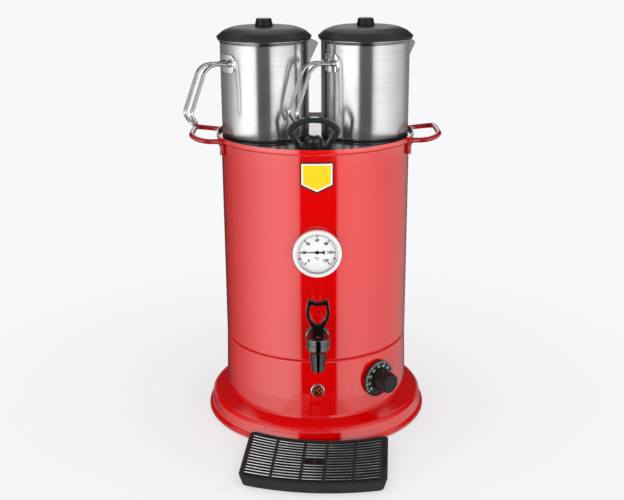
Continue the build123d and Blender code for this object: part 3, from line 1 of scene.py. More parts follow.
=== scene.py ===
"""Looks of the tea urn: finishes, dial markings, small trim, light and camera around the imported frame.

Everything is in metres, in the part's own frame: +Z up, front towards -Y, origin on the floor.
"""

from math import asin, cos, pi, radians, sin, sqrt

import bmesh
import bpy
from mathutils import Matrix, Vector


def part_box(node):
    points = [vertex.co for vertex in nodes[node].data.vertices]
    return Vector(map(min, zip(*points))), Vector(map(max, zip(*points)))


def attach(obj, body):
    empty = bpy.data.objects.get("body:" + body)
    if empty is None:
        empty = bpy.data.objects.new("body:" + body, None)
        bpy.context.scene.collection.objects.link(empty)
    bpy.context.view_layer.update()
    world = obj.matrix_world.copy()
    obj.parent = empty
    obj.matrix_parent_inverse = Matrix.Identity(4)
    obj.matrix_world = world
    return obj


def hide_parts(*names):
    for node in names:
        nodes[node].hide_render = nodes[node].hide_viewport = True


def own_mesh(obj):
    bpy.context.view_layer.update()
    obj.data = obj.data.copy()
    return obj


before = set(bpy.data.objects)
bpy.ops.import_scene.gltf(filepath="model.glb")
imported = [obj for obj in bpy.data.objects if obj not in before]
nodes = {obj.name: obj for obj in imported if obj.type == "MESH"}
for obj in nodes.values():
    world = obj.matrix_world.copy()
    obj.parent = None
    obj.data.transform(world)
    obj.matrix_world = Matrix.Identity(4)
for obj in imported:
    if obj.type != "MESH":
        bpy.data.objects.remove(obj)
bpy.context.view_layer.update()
scene = bpy.context.scene
MM = 0.001
MICRON = 0.000001
UP = Vector((0, 0, 1))

# ---------------------------------------------------------------- node helpers
NOISE_ROUGHNESS = 0.55
NOISE_RANGE = (0.3, 0.7)  # the values that noise mostly keeps to


class Shader:
    """A material or world made of linked nodes; each method returns an output socket."""

    # Sockets of the Mix node for each kind of value: factor, first, second and result.
    MIX_SOCKETS = {"FLOAT": (0, 2, 3, 0), "RGBA": (0, 6, 7, 2)}

    def __init__(self, owner):
        owner.use_nodes = True
        self.owner = owner
        self.tree = owner.node_tree
        self.tree.nodes.clear()

    def node(self, kind, inputs=None, **settings):
        made = self.tree.nodes.new(kind)
        for name, value in settings.items():
            setattr(made, name, value)
        for name, value in (inputs or {}).items():
            self.plug(made.inputs[name], value)
        return made

    def plug(self, socket, value):
        if isinstance(value, bpy.types.NodeSocket):
            self.tree.links.new(value, socket)
        else:
            socket.default_value = value

    def math(self, operation, *values, clamp=False):
        inputs = dict(enumerate(values))
        return self.node("ShaderNodeMath", inputs, operation=operation, use_clamp=clamp).outputs[0]

    def place(self):
        return self.node("ShaderNodeTexCoord").outputs["Object"]

    def stretched(self, scale):
        inputs = {"Vector": self.place(), "Scale": scale}
        return self.node("ShaderNodeMapping", inputs).outputs["Vector"]

    def noise(self, scale, stretch=None, detail=3.0):
        vector = self.stretched(stretch) if stretch else self.place()
        inputs = {"Vector": vector, "Scale": scale, "Detail": detail, "Roughness": NOISE_ROUGHNESS}
        return self.node("ShaderNodeTexNoise", inputs).outputs["Fac"]

    def span(self, value, low, high, to_low, to_high, smooth=False):
        """Value from low to high, moved to the range from to_low to to_high and kept inside it."""
        kind = "SMOOTHSTEP" if smooth else "LINEAR"
        inputs = {"Value": value, "From Min": low, "From Max": high, "To Min": to_low, "To Max": to_high}
        made = self.node("ShaderNodeMapRange", inputs, interpolation_type=kind)
        return made.outputs["Result"]

    def degrees(self, angle, limits, to_low, to_high, smooth=False):
        """The same for an angle, between limits in degrees."""
        return self.span(angle, radians(limits[0]), radians(limits[1]), to_low, to_high, smooth)

    def spread(self, noise, low, high):
        """Noise spread over the range from low to high."""
        return self.span(noise, *NOISE_RANGE, low, high)

    def mix(self, kind, factor, first, second):
        made = self.node("ShaderNodeMix", data_type=kind)
        factor_at, first_at, second_at, result_at = self.MIX_SOCKETS[kind]
        self.plug(made.inputs[factor_at], factor)
        self.plug(made.inputs[first_at], first)
        self.plug(made.inputs[second_at], second)
        return made.outputs[result_at]

    def mix_shaders(self, factor, first, second):
        return self.node("ShaderNodeMixShader", {0: factor, 1: first, 2: second}).outputs[0]

    def ramp(self, factor, stops):
        made = self.node("ShaderNodeValToRGB", {"Fac": factor})
        stop_list = made.color_ramp.elements
        while len(stop_list) < len(stops):
            stop_list.new(0.5)
        for stop, (position, level) in zip(stop_list, stops):
            stop.position = position
            stop.color = (level, level, level, 1.0)
        return made.outputs["Color"]

    def bump(self, height, distance):
        inputs = {"Height": height, "Distance": distance, "Strength": 1.0}
        return self.node("ShaderNodeBump", inputs).outputs["Normal"]

    def principled(self, inputs):
        return self.finish(self.node("ShaderNodeBsdfPrincipled", inputs).outputs[0])

    def finish(self, result, kind="ShaderNodeOutputMaterial"):
        self.tree.links.new(result, self.node(kind).inputs["Surface"])
        return self.owner


def tone(*levels):
    """Linear colour with alpha, from one grey level or from red, green and blue."""
    return (*(levels if len(levels) == 3 else levels * 3), 1.0)


def display_colour(*srgb):
    """Linear colour with alpha of a display colour, 0 to 255, by the sRGB curve."""

    def one(value):
        share = value / 255.0
        return share / 12.92 if share <= 0.04045 else ((share + 0.055) / 1.055) ** 2.4

    return tone(*(one(value) for value in srgb))


# ---------------------------------------------------------------- kinds of finish
DRIFT_RANGE = (0.35, 0.65)
WANDER_TO_PATCH = 4.0


def surface(name, colour, tint, roughness, grain, patch=9.0, **fixed):
    """Principled material: its colour drifts towards tint in patches, its roughness wanders between
    two values, and grain is the noise scale and the height of its bump."""
    make = Shader(bpy.data.materials.new(name))
    drift = make.span(make.noise(patch), *DRIFT_RANGE, 0.0, 1.0)
    wander = make.noise(WANDER_TO_PATCH * patch, detail=5.0)
    grain_scale, grain_height = grain
    inputs = {
        "Base Color": make.mix("RGBA", drift, colour, tint),
        "Roughness": make.spread(wander, *roughness),
        "Normal": make.bump(make.noise(grain_scale), grain_height),
    }
    inputs.update({key.replace("_", " "): value for key, value in fixed.items()})
    return make.principled(inputs)


def enamel(name, colour, tint, gloss):
    """Stoved gloss enamel with a faint orange peel; gloss is the index of its clear layer."""
    return surface(
        name, colour, tint, (0.05, 0.08), grain=(180.0, MICRON), patch=5.0,
        IOR=1.6, Coat_Weight=1.0, Coat_IOR=gloss, Coat_Roughness=0.03,
    )


def brushed_steel(name, colour, tint, roughness):
    """Steel brushed round its vertical axis: fine level lines, reflections drawn out upwards."""
    make = Shader(bpy.data.materials.new(name))
    streaks = make.noise(1.0, stretch=(9.0, 9.0, 900.0), detail=2.0)
    clouds = make.noise(22.0, detail=4.0)
    return make.principled({
        "Base Color": make.mix("RGBA", make.spread(streaks, 0.0, 1.0), colour, tint),
        "Roughness": make.spread(clouds, *roughness),
        "Normal": make.bump(streaks, 0.5 * MICRON),
        "Metallic": 1.0,
        "Anisotropic": 0.75,
        "Anisotropic Rotation": 0.25,
        "Tangent": make.node("ShaderNodeTangent", direction_type="RADIAL", axis="Z").outputs[0],
    })


def metal(name, colour, tint, roughness, grain=(500.0, 2 * MICRON)):
    return surface(name, colour, tint, roughness, grain, Metallic=1.0)


def plastic(name, level, tint_level, roughness, height=10 * MICRON, **fixed):
    """Near neutral plastic of two grey levels, with a bump of that height."""
    colour = tone(level, level, level * 1.02)
    return surface(name, colour, tone(tint_level), roughness, (900.0, height), **fixed)


def printed(name, colour, tint, roughness=(0.4, 0.55)):
    return surface(name, colour, tint, roughness, (900.0, 4 * MICRON))


GLINT_FACETS = (0.55, 0.65)  # noise values between a dark facet and one painted bright as a glint


def amber_lens():
    """Amber plastic over a dark lamp, with a few facets painted bright as glints."""
    make = Shader(bpy.data.materials.new("amber_lens"))
    facets = make.noise(300.0, detail=1.5)
    lit = make.span(facets, *GLINT_FACETS, 0.0, 1.0)
    return make.principled({
        "Base Color": make.mix("RGBA", lit, tone(0.045, 0.002, 0.001), tone(0.7, 0.17, 0.015)),
        "Roughness": make.span(facets, 0.0, 1.0, 0.06, 0.16),
        "Normal": make.bump(facets, 0.2 * MM),
        "IOR": 1.49,
    })


def window_glass():
    """Clear window that lets straight light through, with a trace of smear."""
    make = Shader(bpy.data.materials.new("window_glass"))
    smear = make.spread(make.noise(60.0, detail=5.0), 0.02, 0.06)
    gloss = make.node("ShaderNodeBsdfGlossy", {"Roughness": smear, "Color": tone(1.0)}).outputs[0]
    clear = make.node("ShaderNodeBsdfTransparent", {"Color": tone(0.99)}).outputs[0]
    rim = make.node("ShaderNodeFresnel", {"IOR": 1.12}).outputs[0]
    return make.finish(make.mix_shaders(rim, clear, gloss))


HIGHLIGHT_FROM, HIGHLIGHT_TO = -0.1, 0.03  # places along the tray, from the brightest painted highlight to the darkest
# How far noise scatters the edge of the painted highlight along the tray.
HIGHLIGHT_SCATTER = 0.15


def worn_slat():
    """Pale plastic whose colour paints in the highlight on the slats' tops, brightest towards the tray's left
    end.
    """
    make = Shader(bpy.data.materials.new("worn_slat"))
    x = make.node("ShaderNodeSeparateXYZ", {0: make.place()}).outputs[0]
    highlight_breakup = make.spread(make.noise(40.0), -HIGHLIGHT_SCATTER, HIGHLIGHT_SCATTER)
    along = make.math("ADD", make.span(x, HIGHLIGHT_FROM, HIGHLIGHT_TO, 0.0, 1.0), highlight_breakup)
    share = make.math("MULTIPLY", along, 1.0, clamp=True)
    return make.principled({
        "Base Color": make.mix("RGBA", share, tone(0.95, 0.97, 0.97), tone(0.14, 0.145, 0.145)),
        "Roughness": make.spread(make.noise(160.0), 0.35, 0.5),
        "Specular IOR Level": 0.1,
    })


# ---------------------------------------------------------------- finishes of the slots and nodes
FINISHES = {
    "red_paint": enamel("red_enamel", tone(0.70, 0.0004, 0.0008), tone(0.66, 0.0003, 0.001), 1.7),
    "stainless": brushed_steel("brushed_stainless", tone(0.60), tone(0.66), (0.22, 0.27)),
    "deck_steel": metal("deck_steel", tone(0.58), tone(0.52, 0.52, 0.53), (0.1, 0.15)),
    "charcoal_lid": surface(
        "charcoal_enamel", tone(0.016, 0.0165, 0.0175), tone(0.021, 0.0215, 0.0225), (0.36, 0.42),
        grain=(1500.0, 10 * MICRON), Specular_IOR_Level=0.45,
    ),
    "black_plastic": plastic("black_plastic", 0.01, 0.013, (0.2, 0.28), Specular_IOR_Level=0.3),
    "grille_plastic": surface(
        "grille_plastic", tone(0.017, 0.024, 0.025), tone(0.024, 0.032, 0.033), (0.3, 0.4),
        grain=(900.0, 10 * MICRON), Specular_IOR_Level=0.04,
    ),
    "gunmetal": metal("gunmetal_chrome", tone(0.22, 0.215, 0.21), tone(0.17, 0.166, 0.163), (0.08, 0.14)),
    "lever_black": plastic(
        "lever_black", 0.004, 0.006, (0.08, 0.14), 2 * MICRON, Coat_Weight=0.8, Coat_Roughness=0.04,
    ),
    "bright_chrome": surface(
        "pale_chrome", tone(0.90, 0.90, 0.895), tone(0.86), (0.16, 0.24),
        grain=(500.0, 4 * MICRON), Metallic=0.15, Coat_Weight=0.6, Coat_Roughness=0.08,
    ),
    "amber_lens": amber_lens(),
    "dial_white": surface(
        "dial_white", tone(0.92, 0.92, 0.91), tone(0.89, 0.89, 0.88), (0.45, 0.55),
        grain=(1200.0, 3 * MICRON),
    ),
    "pointer_black": plastic("pointer_black", 0.004, 0.006, (0.35, 0.45)),
    "clear_glass": window_glass(),
    "badge_enamel": plastic(
        "badge_black", 0.008, 0.012, (0.2, 0.3), Coat_Weight=0.3, Coat_Roughness=0.08,
    ),
    "plated_steel": metal(
        "plated_steel", tone(0.58, 0.58, 0.60), tone(0.50, 0.51, 0.53), (0.24, 0.36), (400.0, 10 * MICRON),
    ),
    "rubber": surface(
        "rubber", tone(0.016, 0.016, 0.017), tone(0.026, 0.026, 0.027), (0.72, 0.86),
        grain=(1100.0, 50 * MICRON),
    ),
    "element_sheath": metal(
        "element_sheath", tone(0.22, 0.20, 0.18), tone(0.14, 0.125, 0.12), (0.42, 0.58),
        (220.0, 30 * MICRON),
    ),
    "brass": metal(
        "brass", tone(0.62, 0.42, 0.15), tone(0.53, 0.34, 0.11), (0.28, 0.4), (260.0, 10 * MICRON),
    ),
    "control_body": plastic("control_body", 0.11, 0.14, (0.5, 0.62), 30 * MICRON),
    "copper": metal(
        "copper", tone(0.70, 0.30, 0.16), tone(0.48, 0.17, 0.09), (0.3, 0.44), (200.0, 10 * MICRON),
    ),
    "ceramic": surface(
        "ceramic", tone(0.66, 0.63, 0.56), tone(0.60, 0.57, 0.50), (0.38, 0.52), grain=(500.0, 30 * MICRON),
    ),
    "wire_sleeve": surface(
        "wire_sleeve", tone(0.045, 0.10, 0.30), tone(0.06, 0.13, 0.34), (0.4, 0.5),
        grain=(700.0, 20 * MICRON),
    ),
}

POLISHED = metal("polished_steel", tone(0.86), tone(0.80), (0.05, 0.09), (300.0, MICRON))
# A darker copy of the body's red enamel for the side handles, which carry the same paint: the darker red is
# painted shade.
SHADED_HANDLE_RED = enamel("shaded_handle_enamel", tone(0.36, 0.0006, 0.002), tone(0.31, 0.0005, 0.0025), 1.5)
KNOB_BLACK = plastic("knob_black", 0.007, 0.009, (0.22, 0.3), 4 * MICRON)

# Nodes that share a slot with others but look different on the object.
OWN_FINISH = {
    "pot_bracket_left": POLISHED,
    "pot_bracket_right": POLISHED,
    "pot_handle_left": POLISHED,
    "pot_handle_right": POLISHED,
    "tank": metal("polished_lining", tone(0.82), tone(0.76, 0.76, 0.77), (0.12, 0.18)),
    "lamp_bezel": metal("ring_chrome", tone(0.86, 0.86, 0.85), tone(0.78), (0.06, 0.12)),
    "side_handle_left": SHADED_HANDLE_RED,
    "side_handle_right": SHADED_HANDLE_RED,
    "lid_handle": plastic(
        "arch_black", 0.013, 0.016, (0.14, 0.2), 2 * MICRON, Coat_Weight=1.0, Coat_Roughness=0.04,
    ),
    "pot_knob_left": KNOB_BLACK,
    "pot_knob_right": KNOB_BLACK,
    "drip_tray": surface(
        "tray_black", tone(0.026, 0.029, 0.03), tone(0.034, 0.037, 0.038), (0.3, 0.4),
        grain=(900.0, 10 * MICRON), Specular_IOR_Level=0.05,
    ),
}

for node_name, node in nodes.items():
    for held in node.material_slots:
        slot_name = held.material.name.split(".")[0]
        held.material = OWN_FINISH.get(node_name, FINISHES[slot_name])

INK = printed("dial_ink", tone(0.008, 0.008, 0.009), tone(0.014, 0.014, 0.015))
SCALE_INK = printed("scale_ink", tone(0.05, 0.05, 0.052), tone(0.08, 0.08, 0.082))
KNOB_INK = printed("knob_ink", tone(0.62, 0.63, 0.65), tone(0.5, 0.51, 0.53), (0.4, 0.5))
BADGE_WHITE = surface(
    "badge_white", tone(0.84, 0.84, 0.82), tone(0.79, 0.79, 0.77), (0.2, 0.3), grain=(600.0, 4 * MICRON),
    Coat_Weight=0.5, Coat_Roughness=0.08,
)
BADGE_YELLOW = surface(
    "badge_yellow", tone(0.90, 0.60, 0.004), tone(0.87, 0.57, 0.003), (0.3, 0.4),
    grain=(600.0, 4 * MICRON), Specular_IOR_Level=0.2,
)
# Pale colour that paints the highlight on the tops of the grille's slats.
CROWN = worn_slat()


# ---------------------------------------------------------------- mesh helpers
def piece(name, maker, finish, body, matrix=Matrix.Identity(4)):
    """Mesh object from a bmesh, in place, with its finish, body and slot."""
    bmesh.ops.recalc_face_normals(maker, faces=maker.faces)
    mesh = bpy.data.meshes.new(name)
    maker.to_mesh(mesh)
    maker.free()
    mesh.transform(matrix)
    mesh.materials.append(finish)
    made = bpy.data.objects.new(name, mesh)
    scene.collection.objects.link(made)
    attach(made, body)
    return made


def skin(maker, rows, ring=False):
    """Faces over rows of vertices, each row a closed section. In a ring the last row joins the
    first, and otherwise both ends are closed."""
    after = rows[1:] + rows[:1] if ring else rows[1:]
    for near, far in zip(rows, after):
        for first in range(len(near)):
            second = (first + 1) % len(near)
            maker.faces.new((near[first], near[second], far[second], far[first]))
    if not ring:
        maker.faces.new(rows[0])
        maker.faces.new(rows[-1][::-1])


def polar(radius, turn):
    return radius * cos(turn), radius * sin(turn)


def full_turn(steps):
    return [2 * pi * step / steps for step in range(steps)]


PRINT = 0.06 * MM  # thickness of every printed mark
DIGIT_STEPS = 6  # of each curve in a digit's outline


def print_shape(maker, outline):
    """Printed mark: closed prism of a flat outline, standing on level 0."""
    foot = [maker.verts.new((x, y, 0)) for x, y in outline]
    head = [maker.verts.new((x, y, PRINT)) for x, y in outline]
    skin(maker, [foot, head])


def print_arc(maker, inner, outer, start, end, steps):
    """Printed part of a ring, from start to end in degrees."""
    turns = [radians(start + (end - start) * step / steps) for step in range(steps + 1)]
    near = [polar(inner, turn) for turn in turns]
    far = [polar(outer, turn) for turn in turns]
    print_shape(maker, near + far[::-1])


def print_tick(maker, inner, outer, angle, width):
    """Printed short radial bar of a scale, at an angle in degrees."""
    turn = radians(angle)
    along = Vector(polar(1.0, turn))
    across = Vector((-along.y, along.x)) * width / 2
    print_shape(
        maker,
        [along * inner + across, along * inner - across, along * outer - across, along * outer + across],
    )


def print_text(maker, text, size, centre, bold, turn=0.0):
    """Printed digits, centred on a point; bold is how far their outline is moved out."""
    curve = bpy.data.curves.new("lettering", "FONT")
    curve.body = text
    curve.size = size
    curve.align_x = "CENTER"
    curve.align_y = "CENTER"
    curve.offset = bold
    curve.resolution_u = DIGIT_STEPS
    curve.extrude = PRINT / 2
    holder = bpy.data.objects.new("lettering", curve)
    scene.collection.objects.link(holder)
    mesh = bpy.data.meshes.new_from_object(holder)
    mesh.transform(Matrix.Translation((*centre, PRINT / 2)) @ Matrix.Rotation(turn, 4, "Z"))
    maker.from_mesh(mesh)
    bpy.data.objects.remove(holder)
    bpy.data.curves.remove(curve)
    bpy.data.meshes.remove(mesh)


def facing(origin, normal):
    """Matrix that puts local XY on a vertical plane with that outward normal, local Y up."""
    out = Vector(normal).normalized()
    turn = Matrix((UP.cross(out), UP, out)).transposed().to_4x4()
    return Matrix.Translation(origin) @ turn


# ---------------------------------------------------------------- thermometer
SCALE_TOP = 120
SCALE_START, SCALE_END = 225.0, -45.0  # degrees, of the readings 0 and SCALE_TOP
SCALE_R = 27.4 * MM
SCALE_LINE, SCALE_LINE_STEPS = 0.45 * MM, 96
FINE_STEP, LONG_STEP, NUMBER_STEP = 2, 10, 20
FINE_TICK, LONG_TICK = 1.8 * MM, 2.9 * MM
TICK_WIDTH, TICK_PAST_LINE = 0.4 * MM, 0.1 * MM
NUMBER_TICK = (5.0 * MM, 0.2 * MM)  # its ends, inside the scale's line
NUMBER_TICK_WIDTH = 1.5 * MM
NUMBER_SIZE, NUMBER_BOLD = 5.8 * MM, 0.3 * MM
NUMBER_R, END_NUMBER_R = 19.2 * MM, 18.2 * MM
UNIT_SIZE, UNIT_BOLD = 5.6 * MM, 0.2 * MM
UNIT_PLACE = (-0.8 * MM, -9.8 * MM)
OUTER_ARCS = ((205.0, 222.0), (-42.0, -25.0))
OUTER_ARC_R = (29.6 * MM, 30.0 * MM)
OUTER_ARC_STEPS = 12
ARROW_TIP = (28.6, -8.4)  # in mm, on the right; the left arrow mirrors it
ARROW_CORNERS = ((-4.4, 0.2), (-1.7, -3.9))  # in mm, from the tip
dial_low, dial_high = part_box("gauge_dial")
dial_frame = facing(((dial_low.x + dial_high.x) / 2, dial_low.y, (dial_low.z + dial_high.z) / 2), (0, -1, 0))


def scale_angle(reading):
    return SCALE_START + (SCALE_END - SCALE_START) * reading / SCALE_TOP


def gauge_scale():
    """Line, fine and long ticks, and the two short outer arcs."""
    maker = bmesh.new()
    print_arc(maker, SCALE_R, SCALE_R + SCALE_LINE, SCALE_END, SCALE_START, SCALE_LINE_STEPS)
    for reading in range(0, SCALE_TOP + 1, FINE_STEP):
        length = LONG_TICK if reading % LONG_STEP == 0 else FINE_TICK
        print_tick(maker, SCALE_R - length, SCALE_R + TICK_PAST_LINE, scale_angle(reading), TICK_WIDTH)
    for start, end in OUTER_ARCS:
        print_arc(maker, *OUTER_ARC_R, start, end, OUTER_ARC_STEPS)
    piece("gauge_scale", maker, SCALE_INK, "urn", dial_frame)


def gauge_numbers():
    """Numbers with their bold ticks, the unit and the two arrows."""
    maker = bmesh.new()
    tick_in, tick_out = NUMBER_TICK
    for reading in range(0, SCALE_TOP + 1, NUMBER_STEP):
        angle = scale_angle(reading)
        print_tick(maker, SCALE_R - tick_in, SCALE_R - tick_out, angle, NUMBER_TICK_WIDTH)
        reach = END_NUMBER_R if reading in (0, SCALE_TOP) else NUMBER_R
        print_text(maker, str(reading), NUMBER_SIZE, polar(reach, radians(angle)), NUMBER_BOLD)
    print_text(maker, "°C", UNIT_SIZE, UNIT_PLACE, UNIT_BOLD)
    for side in (-1, 1):
        tip_x, tip_z = ARROW_TIP
        corners = [(side * (tip_x + x) * MM, (tip_z + z) * MM) for x, z in ((0, 0), *ARROW_CORNERS)]
        print_shape(maker, corners)
    piece("gauge_numbers", maker, INK, "urn", dial_frame)


gauge_scale()
gauge_numbers()

# ---------------------------------------------------------------- badge
BADGE_EDGE = 2.0 * MM
BADGE_BORDER = 2.3 * MM
BADGE_CORNER, BADGE_LEAST_CORNER = 1.5 * MM, 0.6 * MM
BADGE_SHOULDER = 11.8 * MM  # above the point
BADGE_STEPS = 40
BADGE_SINK = 0.3 * MM  # of each layer into the plate
BORDER_RISE, FIELD_RISE = 0.12 * MM, 0.2 * MM


def badge_layer(name, inset, rise, finish):
    """Closed shield-shaped layer, inset from the plate's edge and curved with the wall."""
    plate_low, plate_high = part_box("badge_plate")
    face_r = -plate_low.y
    half = plate_high.x - inset
    top = plate_high.z - inset
    slope = BADGE_SHOULDER / plate_high.x
    point = plate_low.z + inset * sqrt(1 + slope * slope)
    corner = max(BADGE_CORNER - inset, BADGE_LEAST_CORNER)
    under, face = face_r - BADGE_SINK, face_r + rise
    maker = bmesh.new()
    rows = []
    for step in range(BADGE_STEPS + 1):
        x = half * (2 * step / BADGE_STEPS - 1)
        over = max(abs(x) - (half - corner), 0.0)
        high = top - (corner - sqrt(max(corner * corner - over * over, 0.0)))
        low = point + abs(x) * slope
        turn = x / face_r
        section = ((under, low), (under, high), (face, high), (face, low))
        rows.append([maker.verts.new((r * sin(turn), -r * cos(turn), z)) for r, z in section])
    skin(maker, rows)
    piece(name, maker, finish, "urn")


badge_layer("badge_border", BADGE_EDGE, BORDER_RISE, BADGE_WHITE)
badge_layer("badge_field", BADGE_EDGE + BADGE_BORDER, FIELD_RISE, BADGE_YELLOW)

# ---------------------------------------------------------------- thermostat knob
STAT_ANGLE = 39.5  # degrees round from the front
SKIRT_R = 30.0 * MM
SKIRT_FACE_R = 26.5 * MM
SKIRT_DROP = 1.6 * MM  # of the bevel, from the skirt's face to its edge
KNOB_GRIP = 26.0 * MM  # from the skirt's face to the knob's end
FIRST_MARK, LAST_MARK = 214.0, -18.0  # degrees
KNOB_NUMBERS = range(30, 111, 10)
MARKS_TO_A_NUMBER = 4
MAIN_MARK_HALF, FINE_MARK_HALF = 0.5 * MM, 0.32 * MM
MAIN_MARK_IN, FINE_MARK_IN = 1.6 * MM, 0.2 * MM  # from the bevel onto the skirt's face
MARK_END = 0.5 * MM  # short of the skirt's edge
MARK_END_DROP = 0.94 * SKIRT_DROP
KNOB_NUMBER_R, KNOB_NUMBER_SIZE, KNOB_NUMBER_BOLD = 21.6 * MM, 5.2 * MM, 0.1 * MM


def knob_frame():
    """Matrix of the skirt's face, from where the knob ends."""
    low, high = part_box("thermostat_knob")
    out = Vector((sin(radians(STAT_ANGLE)), -cos(radians(STAT_ANGLE)), 0))
    reach = max(Vector(vertex.co).dot(out) for vertex in nodes["thermostat_knob"].data.vertices)
    return facing(out * (reach - KNOB_GRIP) + UP * ((low.z + high.z) / 2), out)


def knob_markings():
    """Numbers on the skirt's face and fine lines round its bevel."""
    maker = bmesh.new()
    steps = MARKS_TO_A_NUMBER * (len(KNOB_NUMBERS) - 1)
    lift = UP * PRINT
    for step in range(steps + 1):
        turn = radians(FIRST_MARK + (LAST_MARK - FIRST_MARK) * step / steps)
        main = step % MARKS_TO_A_NUMBER == 0
        along = Vector((*polar(1.0, turn), 0))
        across = UP.cross(along) * (MAIN_MARK_HALF if main else FINE_MARK_HALF)
        inner = along * (SKIRT_FACE_R - (MAIN_MARK_IN if main else FINE_MARK_IN))
        rim = along * SKIRT_FACE_R
        outer = along * (SKIRT_R - MARK_END) - UP * MARK_END_DROP
        section = (across, -across, lift - across, lift + across)
        skin(maker, [[maker.verts.new(place + shift) for shift in section] for place in (inner, rim, outer)])
        if main:
            number = str(KNOB_NUMBERS[step // MARKS_TO_A_NUMBER])
            place = polar(KNOB_NUMBER_R, turn)
            print_text(maker, number, KNOB_NUMBER_SIZE, place, KNOB_NUMBER_BOLD, turn - pi / 2)
    piece("knob_markings", maker, KNOB_INK, "thermostat_knob", knob_frame())


knob_markings()

# ---------------------------------------------------------------- ribbed grips of the teapots
POT_R = 69.0 * MM
HANDLE_ANGLE = 52.5  # degrees round from the front, to the left
ROD_R = 2.8 * MM
ROD_SPREAD = 9.4 * MM
BRACKET_DROP = 34.5 * MM  # from the pot's rim to the bracket's middle
ELBOW = Vector((43.0, 3.0)) * MM  # out from the pot's wall and up from the bracket's middle
KNEE = Vector((74.5, -69.5)) * MM
ELBOW_BEND, KNEE_BEND = 19.5 * MM, 7.5 * MM  # of the straight run, taken by the bends at its ends
RIB_PITCH = 2.0 * MM
RIB_RISE = 0.32 * MM
RIB_SIDES = 20
RIB_SECTION = (  # shares of the ribs' pitch and rise
    (-0.35, -0.3), (-0.28, 0.5), (-0.12, 1.0), (0.12, 1.0), (0.28, 0.5), (0.35, -0.3),
)


def grip_ribs(side):
    """Raised rings along the straight run of a teapot's two handle rods."""
    low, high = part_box(f"pot_body_{side}")
    middle = Vector(((low.x + high.x) / 2, (low.y + high.y) / 2, high.z - BRACKET_DROP))
    out = Vector((-sin(radians(HANDLE_ANGLE)), -cos(radians(HANDLE_ANGLE)), 0))
    across = UP.cross(out)
    top = middle + out * (POT_R + ELBOW.x) + UP * ELBOW.y
    foot = middle + out * (POT_R + KNEE.x) + UP * KNEE.y
    along = (foot - top).normalized()
    lead = along.cross(across)
    run = (foot - top).length - ELBOW_BEND - KNEE_BEND
    maker = bmesh.new()
    for rod in (-ROD_SPREAD, ROD_SPREAD):
        for rib in range(int(run / RIB_PITCH) + 1):
            centre = top + across * rod + along * (ELBOW_BEND + rib * RIB_PITCH)
            rows = []
            for turn in full_turn(RIB_SIDES):
                spoke = across * cos(turn) + lead * sin(turn)
                rows.append([
                    maker.verts.new(centre + along * (shift * RIB_PITCH) + spoke * (ROD_R + rise * RIB_RISE))
                    for shift, rise in RIB_SECTION
                ])
            skin(maker, rows, ring=True)
    made = piece(f"grip_ribs_{side}", maker, POLISHED, f"pot_{side}")
    made.data.shade_smooth()


for pot_side in ("left", "right"):
    grip_ribs(pot_side)


def tap_spring():
    """The tap's return spring, which the rising stem presses together against the bonnet."""
    made = bpy.data.objects.new("tap_return_spring", nodes["tap_spring"].data.copy())
    scene.collection.objects.link(made)
    made.data.materials.clear()
    made.data.materials.append(FINISHES["plated_steel"])
    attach(made, "urn")
    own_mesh(made)
    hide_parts("tap_spring")


tap_spring()

# ---------------------------------------------------------------- black rings painting the shadow under the teapots
# Black rings stand in for the shadow line under each teapot: their inner and outer radii, then low and high
# levels.
SEAT_IN, SEAT_OUT = 64.15 * MM, 69.2 * MM
SEAT_LOW, SEAT_HIGH = 468.25 * MM, 469.4 * MM
SEAT_EDGE = 0.4 * MM
SEAT_STEPS = 120


def seat_rings():
    """Black rings that paint in the shadow of the gap between the lid's deck and the teapots' shoulders."""
    section = (
        (SEAT_IN, SEAT_LOW), (SEAT_OUT, SEAT_LOW), (SEAT_OUT, SEAT_HIGH - SEAT_EDGE),
        (SEAT_OUT - SEAT_EDGE, SEAT_HIGH), (SEAT_IN, SEAT_HIGH),
    )
    maker = bmesh.new()
    for side in ("left", "right"):
        low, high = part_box(f"pot_body_{side}")
        centre = Vector(((low.x + high.x) / 2, (low.y + high.y) / 2, 0))
        rows = [
            [maker.verts.new(centre + Vector((*polar(r, turn), z))) for r, z in section]
            for turn in full_turn(SEAT_STEPS)
        ]
        skin(maker, rows, ring=True)
    piece("seat_rings", maker, FINISHES["rubber"], "lid")


seat_rings()

# ---------------------------------------------------------------- crowned slats of the tray's grille
TRAY_X = -6.1 * MM
TRAY_BACK = 62.4 * MM
TRAY_CLEAR = 0.15 * MM
TRAY_TURN = -5.3  # degrees
TRAY_ARC_R = 235.0 * MM
FIRST_SLOT_R = TRAY_ARC_R + 5.8 * MM
SLAT = 3.1 * MM
SLAT_PITCH = 8.0 * MM
SLOT_ROWS = 15
COLUMN_EDGES = (-104.2, -62.2, -18.2, 16.2, 59.5, 100.8)  # middles of the grille's ribs, in mm
COLUMN_RIB = 4.6
FINGER_COLUMN = 2
FINGER_ROWS = (7, 8)  # slats that the finger hole takes from that column
CROWN_WIDTH = 1.6 * MM
CROWN_RISE = 0.55 * MM
CROWN_STEPS = 12
CROWN_SECTION = (  # shares of the crown's width and rise
    (-0.5, -0.2), (-0.42, 0.45), (-0.2, 0.9), (0.0, 1.0), (0.2, 0.9), (0.42, 0.45), (0.5, -0.2),
)


